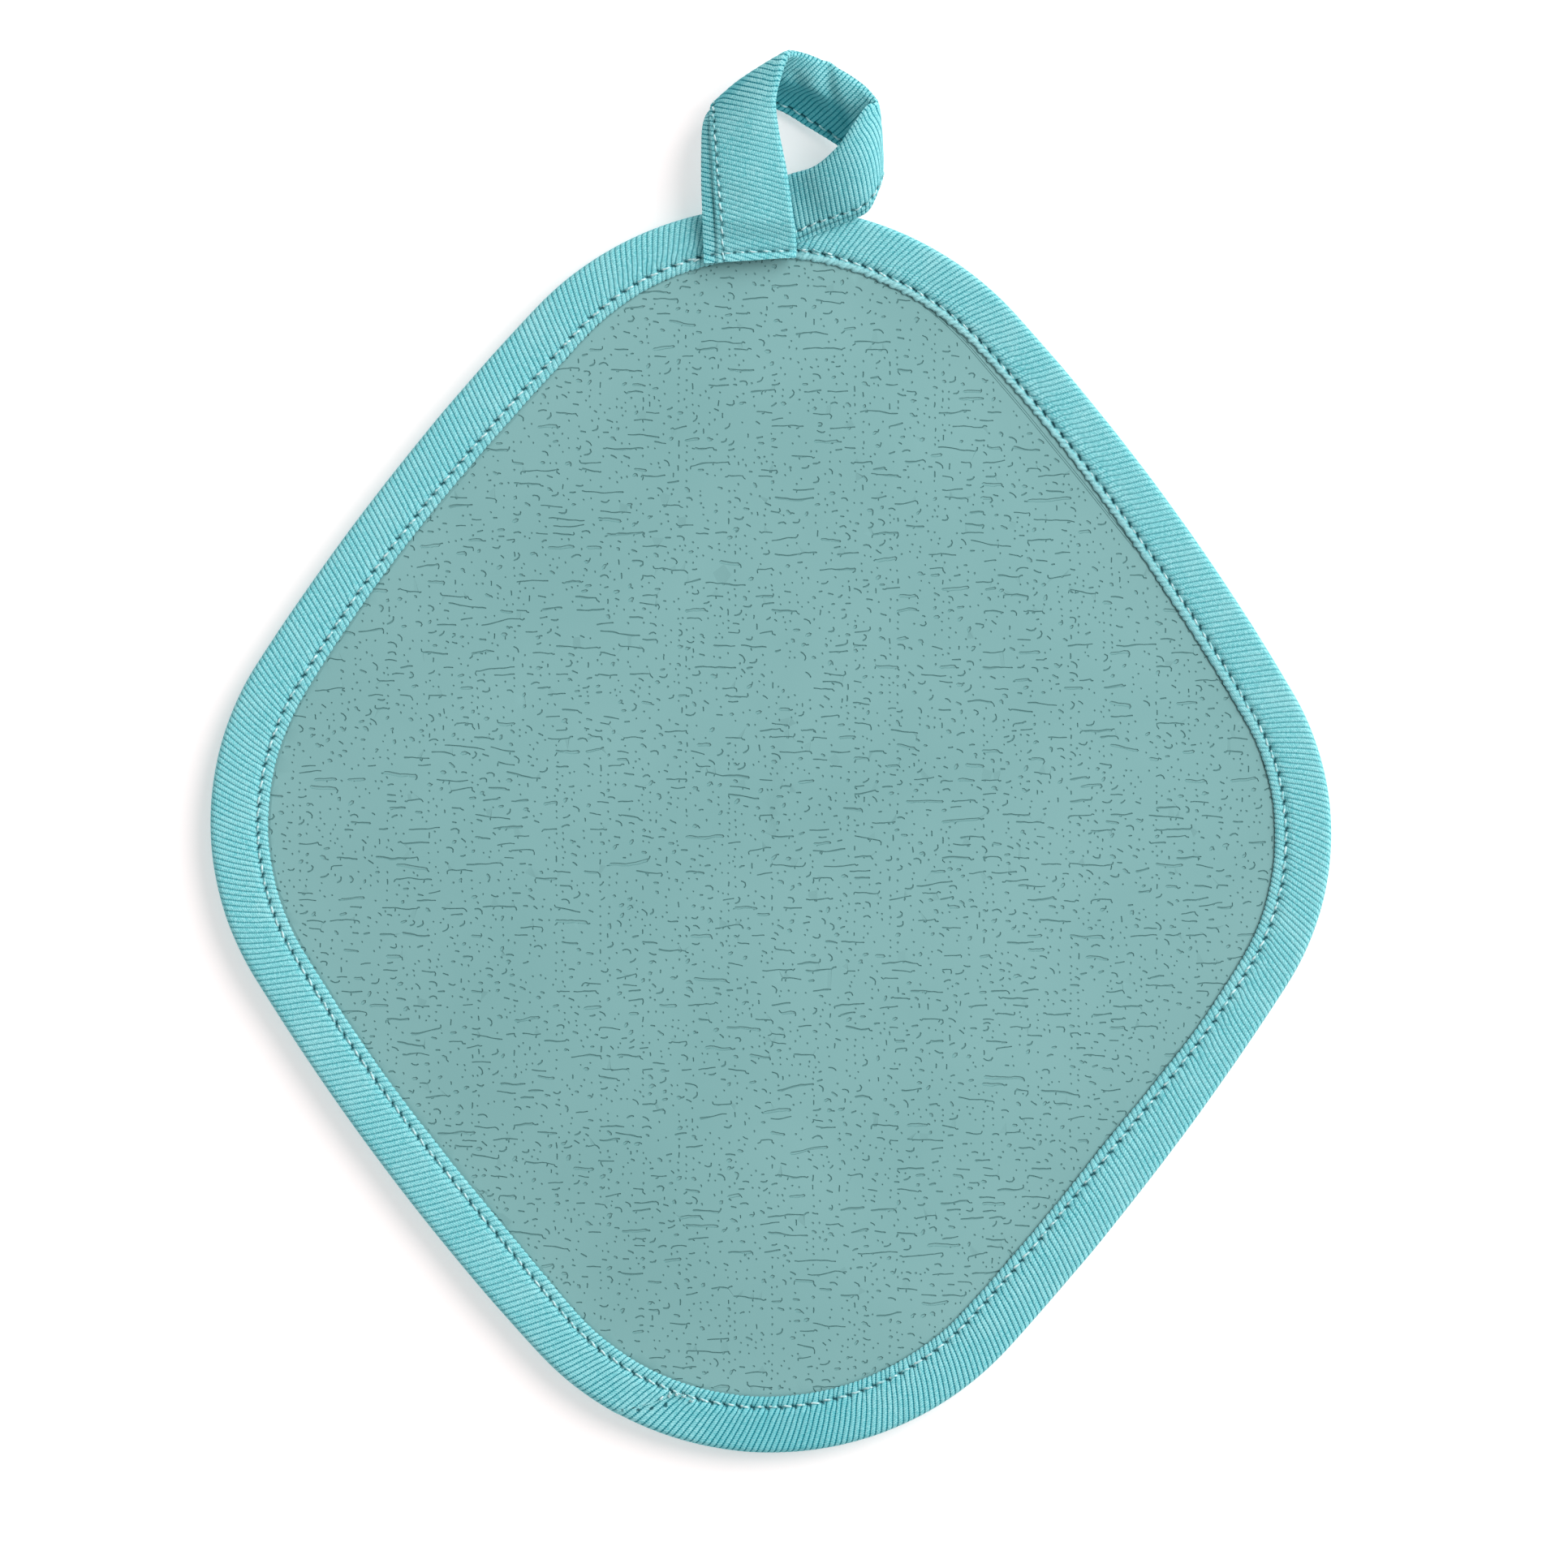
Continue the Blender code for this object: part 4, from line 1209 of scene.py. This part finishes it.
# The cross row presses the strap's ends down on the binding.
PRESSED_Y = (105.6, 111.0)
PRESSED_BED = 5.3
PRESSED_SHARE = 0.62
CROSS_ROW_DEPTH = 0.5
CROSS_ROW_REACH = 0.6
CROSS_ROW_ABOVE = 5.6
CROSS_ROW_FADE = 1.2
CROSS_HOLE_HALF = 0.26
CROSS_ROW_COLUMNS = ("x", "y", "bed")
CROSS_ROW = (
    (-14.3, 102.6, 5.2),
    (-12.6, 103.7, 5.4),
    (-10.5, 104.2, 6.3),
    (-8.8, 104.3, 7.0),
    (-6.4, 104.6, 7.05),
    (-4.4, 104.7, 7.05),
    (-1.9, 104.75, 7.05),
    (0.6, 104.8, 7.05),
    (2.9, 104.9, 7.0),
    (5.2, 104.9, 6.2),
    (7.2, 105.2, 5.6),
    (9.4, 104.6, 5.3),
    (11.6, 104.2, 5.2),
)
cross_row = np.array(CROSS_ROW)


def strap_row(place):
    """The strap's table at places between its rows, smoothly."""
    last = len(strap_rows) - 1
    start = np.clip(np.floor(place).astype(int), 0, last - 1)
    four = [strap_rows[np.clip(start + k, 0, last)] for k in (-1, 0, 1, 2)]
    return catmull_rom(*four, (place - start)[..., None])


dense_place = np.linspace(0.0, len(strap_rows) - 1, 1500)
dense_rows = strap_row(dense_place)
dense_middle = (dense_rows[:, 0:3] + dense_rows[:, 3:6]) / 2
dense_length = np.concatenate(
    [[0.0], np.cumsum(np.linalg.norm(np.diff(dense_middle, axis=0), axis=1))]
)
strap_length = dense_length[-1]


def strap_distance(place):
    """Distance along the strap of a place that its table names."""
    return np.interp(strap_places.index(place), dense_place, dense_length)


def strap_frame(along):
    """The strap at these distances along it: its open edge, the directions across and out of it,
    its width, bow, ledge and bend."""
    row = strap_row(np.interp(along, dense_length, dense_place))
    reach = 0.6
    back = strap_row(np.interp(along - reach, dense_length, dense_place))
    front = strap_row(np.interp(along + reach, dense_length, dense_place))
    sideways = row[..., 3:6] - row[..., 0:3]
    wide = np.linalg.norm(sideways, axis=-1)
    sideways /= wide[..., None]
    forward = front[..., 0:3] + front[..., 3:6] - back[..., 0:3] - back[..., 3:6]
    forward /= np.linalg.norm(forward, axis=-1)[..., None]
    out = np.cross(sideways, forward)
    out /= np.linalg.norm(out, axis=-1)[..., None]
    return row[..., 0:3], sideways, out, wide, row[..., 6], row[..., 7], row[..., 8]


def strap_surface(along, share, height):
    """Points of the strap: share of the way from the open to the folded edge, and height."""
    open_edge, sideways, out, wide, bow, _, bend = strap_frame(along)
    raised = height + bow * 4 * share * (1 - share) + bend * np.sin(math.tau * share)
    found = open_edge + sideways * (share * wide)[..., None] + out * raised[..., None]
    pressing = 1 - (1 - PRESSED_SHARE) * (
        1 - smooth((found[..., 1] - PRESSED_Y[0]) / (PRESSED_Y[1] - PRESSED_Y[0]))
    )
    found[..., 2] = np.where(
        found[..., 2] > PRESSED_BED,
        PRESSED_BED + (found[..., 2] - PRESSED_BED) * pressing,
        found[..., 2],
    )
    from_cross = found[..., 1] - np.interp(found[..., 0], cross_row[:, 0], cross_row[:, 1])
    thick = smooth((found[..., 2] - CROSS_ROW_ABOVE) / CROSS_ROW_FADE)
    found[..., 2] -= CROSS_ROW_DEPTH * bell(from_cross, CROSS_ROW_REACH) * thick
    return found


STRAP_RIB_LEAN = math.radians(17)
STRAIGHTENING_SEEN = 0.2
STRAIGHTENING_UNSEEN = 0.625
SMOOTHING = 0.05
FACES_UP_FROM = 0.3
FACES_UP_OVER = 0.35
RIB_GRID = (57, 15)


def rib_phases():
    """Counts the ribs over the strap's two layers laid open, on a grid, by least squares: along
    the wanted rib direction the count stays the same, and across it rises once each pitch. That
    counts where the layer faces up, as there the photograph shows it. Elsewhere the ribs tend to
    run straight through the sheet, as they are woven."""
    grid_along = np.linspace(0.0, strap_length, RIB_GRID[0])
    grid_across = np.linspace(0.0, 2.0, RIB_GRID[1] + 1)
    a, u = np.meshgrid(grid_along, grid_across, indexing="ij")
    grid_side = np.where(u < 1, 1, -1)
    spots = strap_surface(a, np.where(u < 1, u, 2 - u), grid_side * STRAP_THICKNESS / 2)
    number = np.arange(a.size).reshape(a.shape)
    known = {1: [], -1: []}
    for place, side, open_deg, fold_deg in STRAP_RIBS:
        known[side].append((strap_distance(place), open_deg, fold_deg))
    matrix = np.zeros((a.size, a.size))
    wanted = np.zeros(a.size)

    def add_equation(terms, value):
        for first, factor in terms:
            wanted[first] += factor * value
            for second, other in terms:
                matrix[first, second] += factor * other

    step_a = grid_along[1]
    step_u = grid_across[1]
    for i in range(a.shape[0] - 1):
        for j in range(a.shape[1] - 1):
            four = number[i, j], number[i + 1, j], number[i, j + 1], number[i + 1, j + 1]
            (p00, p10), (p01, p11) = spots[i : i + 2, j], spots[i : i + 2, j + 1]
            run = ((p10 - p00) + (p11 - p01)) / 2 / step_a
            cross = ((p01 - p00) + (p11 - p10)) / 2 / step_u
            at = grid_along[i] + step_a / 2
            across = grid_across[j] + step_u / 2
            side = 1 if across < 1 else -1
            from_open = across if side > 0 else 2 - across
            table = np.array(known[side])
            shows = from_open < 0.97 and table[0][0] - 1 < at < table[-1][0] + 4
            facing = np.cross(cross, run)
            upward = facing[2] / math.sqrt(facing @ facing)
            level = smooth((upward - FACES_UP_FROM) / FACES_UP_OVER) * shows
            run_share = (-0.5 / step_a, 0.5 / step_a, -0.5 / step_a, 0.5 / step_a)
            cross_share = (-0.5 / step_u, -0.5 / step_u, 0.5 / step_u, 0.5 / step_u)
            if level > 0:
                open_deg = np.interp(at, table[:, 0], table[:, 1])
                fold_deg = np.interp(at, table[:, 0], table[:, 2])
                turn = math.radians(open_deg + (fold_deg - open_deg) * from_open)
                dx, dy = math.cos(turn), math.sin(turn)
                along_rib = np.array([cross[0] * dy - cross[1] * dx, run[1] * dx - run[0] * dy])
                metric = np.array([[run @ run, run @ cross], [run @ cross, cross @ cross]])
                over = np.array([-(metric[1] @ along_rib), metric[0] @ along_rib])
                over *= 1 if over[0] > 0 else -1
                for share, value in ((along_rib, 0.0), (over, 1.0 / STRAP_RIB_PITCH)):
                    share = share * level / math.sqrt(share @ metric @ share)
                    add_equation(
                        [
                            (n, share[0] * r + share[1] * c)
                            for n, r, c in zip(four, run_share, cross_share)
                        ],
                        value * level,
                    )
            for shares, way, lean in (
                (run_share, run, math.cos(STRAP_RIB_LEAN)),
                (cross_share, cross, math.sin(STRAP_RIB_LEAN)),
            ):
                length = math.sqrt(way @ way)
                weight = STRAIGHTENING_UNSEEN * (1 - level) + STRAIGHTENING_SEEN * level
                terms = [(n, weight / length * part) for n, part in zip(four, shares)]
                add_equation(terms, weight * lean / STRAP_RIB_PITCH)
    for strip in (*number, *number.T):
        for three in zip(strip, strip[1:], strip[2:]):
            add_equation(list(zip(three, (SMOOTHING, -2 * SMOOTHING, SMOOTHING))), 0.0)
    add_equation([(0, 1.0)], 0.0)
    return grid_along, grid_across, np.linalg.solve(matrix, wanted).reshape(a.shape)


def between_nodes(grid, nodes, value):
    """Values of evenly spaced rows of a grid at places between them, smoothly."""
    place = (value - nodes[0]) / (nodes[1] - nodes[0])
    start = np.clip(np.floor(place).astype(int), 0, len(nodes) - 2)
    four = []
    for k in (-1, 0, 1, 2):
        at = start + k
        inside = np.clip(at, 0, len(nodes) - 1)
        past = (at - inside)[:, None]
        edge_step = np.where(past > 0, grid[-1] - grid[-2], grid[1] - grid[0])
        four.append(grid[inside] + past * edge_step)
    return catmull_rom(*four, (place - start)[:, None])


UPPER_FACES = 46
LOWER_FACES = 40
half = STRAP_THICKNESS / 2
upper = np.linspace(0.0, 1.0, UPPER_FACES + 1)
lower = np.linspace(1.0, 0.0, LOWER_FACES + 1)
upper_side = np.concatenate([np.ones(UPPER_FACES + 1), -np.ones(LOWER_FACES + 1)])
section_share = np.concatenate([upper, lower])
strap_stations = int(strap_length / STRAP_STEP) + 1
along = np.linspace(0.0, strap_length, strap_stations)[:, None] + 0 * section_share[None, :]
share = section_share[None, :] + 0 * along
side = upper_side[None, :] + 0 * along
_, _, _, wide, _, ledge, _ = strap_frame(along)
offset = share * wide


def round_edge(distance, reach):
    """Height of a round edge of this reach, from 0 at the edge to 1 past it."""
    way = np.clip(distance / reach, 0.0, 1.0)
    return np.sqrt(way * (2 - way))


# The upper layer with its own edge, the ledge of the lower layer past it, and the folded edge.
past_ledge = offset - ledge
on_upper = side > 0
fold_round = round_edge(wide - offset, FOLD_ROUND)
open_round = round_edge(offset, OPEN_ROUND)
groove = -LEDGE_GROOVE * bell(past_ledge, LEDGE_GROOVE_HALF)
on_layer = half * round_edge(past_ledge, LAYER_ROUND) * fold_round
upper_height = np.where(past_ledge > 0, on_layer, -0.05 + 0.12 * open_round) + groove
under_height = -half * fold_round * np.where(offset < 0.5, 0.3 + 0.7 * open_round, 1.0)

stitched = np.where(on_upper, past_ledge - STRAP_ROW_IN, offset - STRAP_UNDER_ROW_IN)
wave = np.cos(math.tau * along / STRAP_STITCH_PITCH)
# Stitch holes along the open edge: sunk in the mesh, with painted shade.
strap_holes_and_painted_shade = bell(stitched, STRAP_HOLE_HALF) * smooth((wave - 0.2) / 0.45)
shape = -STRAP_ROW_GROOVE * bell(stitched, 0.4) - STRAP_HOLE_DEPTH * strap_holes_and_painted_shade
shape -= STRAP_PUCKER * wave * np.exp(-np.abs(stitched) / 0.9)

grid_along, grid_across, rib_grid = rib_phases()
rib_rows = between_nodes(rib_grid, grid_along, along[:, 0])
across_place = np.where(section_share < 1, section_share, 1.0)
across_place = np.where(upper_side > 0, across_place, 2.0 - section_share)
phase = between_nodes(rib_rows.T, grid_across, across_place).T
unfolded = np.where(side > 0, offset, 2 * wide - offset)
on_ledge = on_upper & (past_ledge < 0)
rib = np.abs(np.sin(math.pi * phase)) * 1.75 - 1.0
edge_fade = fold_round * np.where(np.abs(past_ledge) < 0.25, 0.4, 1.0)
shape = shape + 0.5 * STRAP_RIB_HEIGHT * rib * edge_fade
surface_height = np.where(on_upper, upper_height + shape, under_height - shape)
creases = soft_noise(offset + 40 * (side < 0), along, STRAP_UNEVEN_SIZE, 7.0) * STRAP_UNEVEN
for start_place, start_share, end_place, end_share, depth, half_width in STRAP_CREASES:
    start_along = strap_distance(start_place)
    reach_along = strap_distance(end_place) - start_along
    way = np.array([reach_along, (end_share - start_share) * STRAP_USUAL_WIDTH])
    from_start = [along - start_along, (share - start_share) * STRAP_USUAL_WIDTH]
    from_start = np.stack(from_start, axis=-1)
    reached = np.clip(from_start @ way / (way @ way), 0.0, 1.0)
    apart = np.linalg.norm(from_start - reached[..., None] * way, axis=-1)
    creases += depth * bell(apart, half_width)
points = strap_surface(along, share, surface_height + creases * fold_round)
# Painted shade in the cross row's needle holes and in the crease along the ledge's edge.
from_cross = points[..., 1] - np.interp(points[..., 0], cross_row[:, 0], cross_row[:, 1])
cross_phase = np.interp(points[..., 0], cross_row[:, 0], np.arange(len(cross_row)))
cross_hole_painted_shade = bell(from_cross, CROSS_HOLE_HALF) * smooth((np.cos(math.tau * cross_phase) - 0.2) / 0.5)
strap_holes_and_painted_shade = np.maximum(strap_holes_and_painted_shade, cross_hole_painted_shade * (points[..., 2] > 6.0) * (along < 20.0))
ledge_painted_shade = LEDGE_PAINTED_SHADE * bell(past_ledge, LEDGE_PAINTED_SHADE_HALF) * on_upper
strap_holes_and_painted_shade = np.maximum(strap_holes_and_painted_shade, ledge_painted_shade)

count = section_share.size
k = np.arange(strap_stations - 1)[:, None]
j = np.arange(count)[None, :]
beside = (j + 1) % count
quads = np.stack(
    [k * count + j, (k + 1) * count + j, (k + 1) * count + beside, k * count + beside], axis=-1
).reshape(-1, 4)
faces = quads.tolist()
last = (strap_stations - 1) * count
faces.append(list(range(count)))
faces.append([last + m for m in reversed(range(count))])
twill_loop = link_piece("twill_loop", points.reshape(-1, 3), faces, twill, 60.0)
corner_vertex = np.array([v for face in faces for v in face])
add_rib_map(twill_loop, phase.reshape(-1)[corner_vertex], unfolded.reshape(-1)[corner_vertex])
add_values(twill_loop, "hole", strap_holes_and_painted_shade)
add_values(twill_loop, "bunched", 0.0 * along)
# Painted shade: darker valleys and tone on the loop's top strand, and darker valleys on the ledge.
stretched = np.interp(along, (26.0, 32.0, 52.0, 58.0), (0.0, 1.0, 1.0, 0.7))
stretched = stretched - 0.35 * smooth((share - 0.45) / 0.35) * (stretched > 0.75)
add_values(twill_loop, "stretched", np.maximum(stretched, 0.6 * on_ledge))
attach(twill_loop, "root")
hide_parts("hanging_loop")


def strap_stitches():
    """The row along the strap's open edge, on its upper side and again on its under side."""
    strands = []
    for side_sign in (1, -1):
        for number in range(int(strap_length / STRAP_STITCH_PITCH)):
            strand = []
            for at_share, sideways, rise in STITCH_SHAPE:
                at = np.array([(number + at_share) * STRAP_STITCH_PITCH])
                _, _, _, wide_here, _, ledge_here, _ = strap_frame(at)
                inward = ledge_here + STRAP_ROW_IN if side_sign > 0 else STRAP_UNDER_ROW_IN
                place_share = (inward + sideways) / wide_here
                level = np.array([side_sign * (half - STRAP_THREAD_SUNK + rise)])
                strand.append(tuple(strap_surface(at, place_share, level)[0]))
            strands.append(strand)
    return strands


# The cross row holds both ends down on the binding.
def cross_stitches():
    strands = []
    for (ax, ay, az), (bx, by, bz) in zip(CROSS_ROW, CROSS_ROW[1:]):
        strand = []
        for share_here, sideways, rise in STITCH_SHAPE:
            strand.append(
                (
                    ax + (bx - ax) * share_here,
                    ay + (by - ay) * share_here + sideways,
                    az + (bz - az) * share_here + rise,
                )
            )
        strands.append(strand)
    return strands


loop_thread = thread_piece("loop_thread", strap_stitches() + cross_stitches(), STRAP_THREAD_RADIUS)
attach(loop_thread, "root")


# ---- Table, light and camera ----------------------------------------------------------------
# A white table top, one large soft lamp high on the right and even light all round, and a camera
# straight above the pot holder, as the photograph was taken.

bpy.ops.mesh.primitive_plane_add(size=4.0, location=(0.0, 0.0, -0.0001))
table = bpy.context.active_object
table.name = "table_top"
white, tree, shader = new_material("matt_white_board", 0.9)
shader.inputs["Base Color"].default_value = linear("#F2E7E6")
shader.inputs["Emission Color"].default_value = linear("#FFFFFF")
shader.inputs["Emission Strength"].default_value = 0.36
table.data.materials.append(white)

world = bpy.data.worlds.new("studio")
world.use_nodes = True
world.node_tree.nodes["Background"].inputs["Color"].default_value = (1.0, 1.0, 1.0, 1.0)
world.node_tree.nodes["Background"].inputs["Strength"].default_value = 0.47
bpy.context.scene.world = world

LAMP_AWAY = 6.0
LAMP_DIRECTION_DEG = 32.0
LAMP_ELEVATION_DEG = 38.0
level = LAMP_AWAY * math.cos(math.radians(LAMP_ELEVATION_DEG))
bpy.ops.object.light_add(
    type="AREA",
    location=(
        level * math.cos(math.radians(LAMP_DIRECTION_DEG)),
        level * math.sin(math.radians(LAMP_DIRECTION_DEG)),
        LAMP_AWAY * math.sin(math.radians(LAMP_ELEVATION_DEG)),
    ),
)
lamp = bpy.context.active_object
lamp.name = "soft_lamp"
lamp.data.shape = "DISK"
lamp.data.size = 6.0
lamp.data.energy = 403.0
lamp.rotation_euler = (-lamp.location).to_track_quat("-Z", "Y").to_euler()

PHOTO_MM = 284.2
PHOTO_MIDDLE = (2.43, 8.24)
camera_data = bpy.data.cameras.new("camera")
camera_data.type = "ORTHO"
camera_data.ortho_scale = PHOTO_MM * MM
camera = bpy.data.objects.new("camera", camera_data)
camera.location = (PHOTO_MIDDLE[0] * MM, PHOTO_MIDDLE[1] * MM, 1.0)
bpy.context.scene.collection.objects.link(camera)
bpy.context.scene.camera = camera
bpy.context.scene.view_settings.view_transform = "Standard"
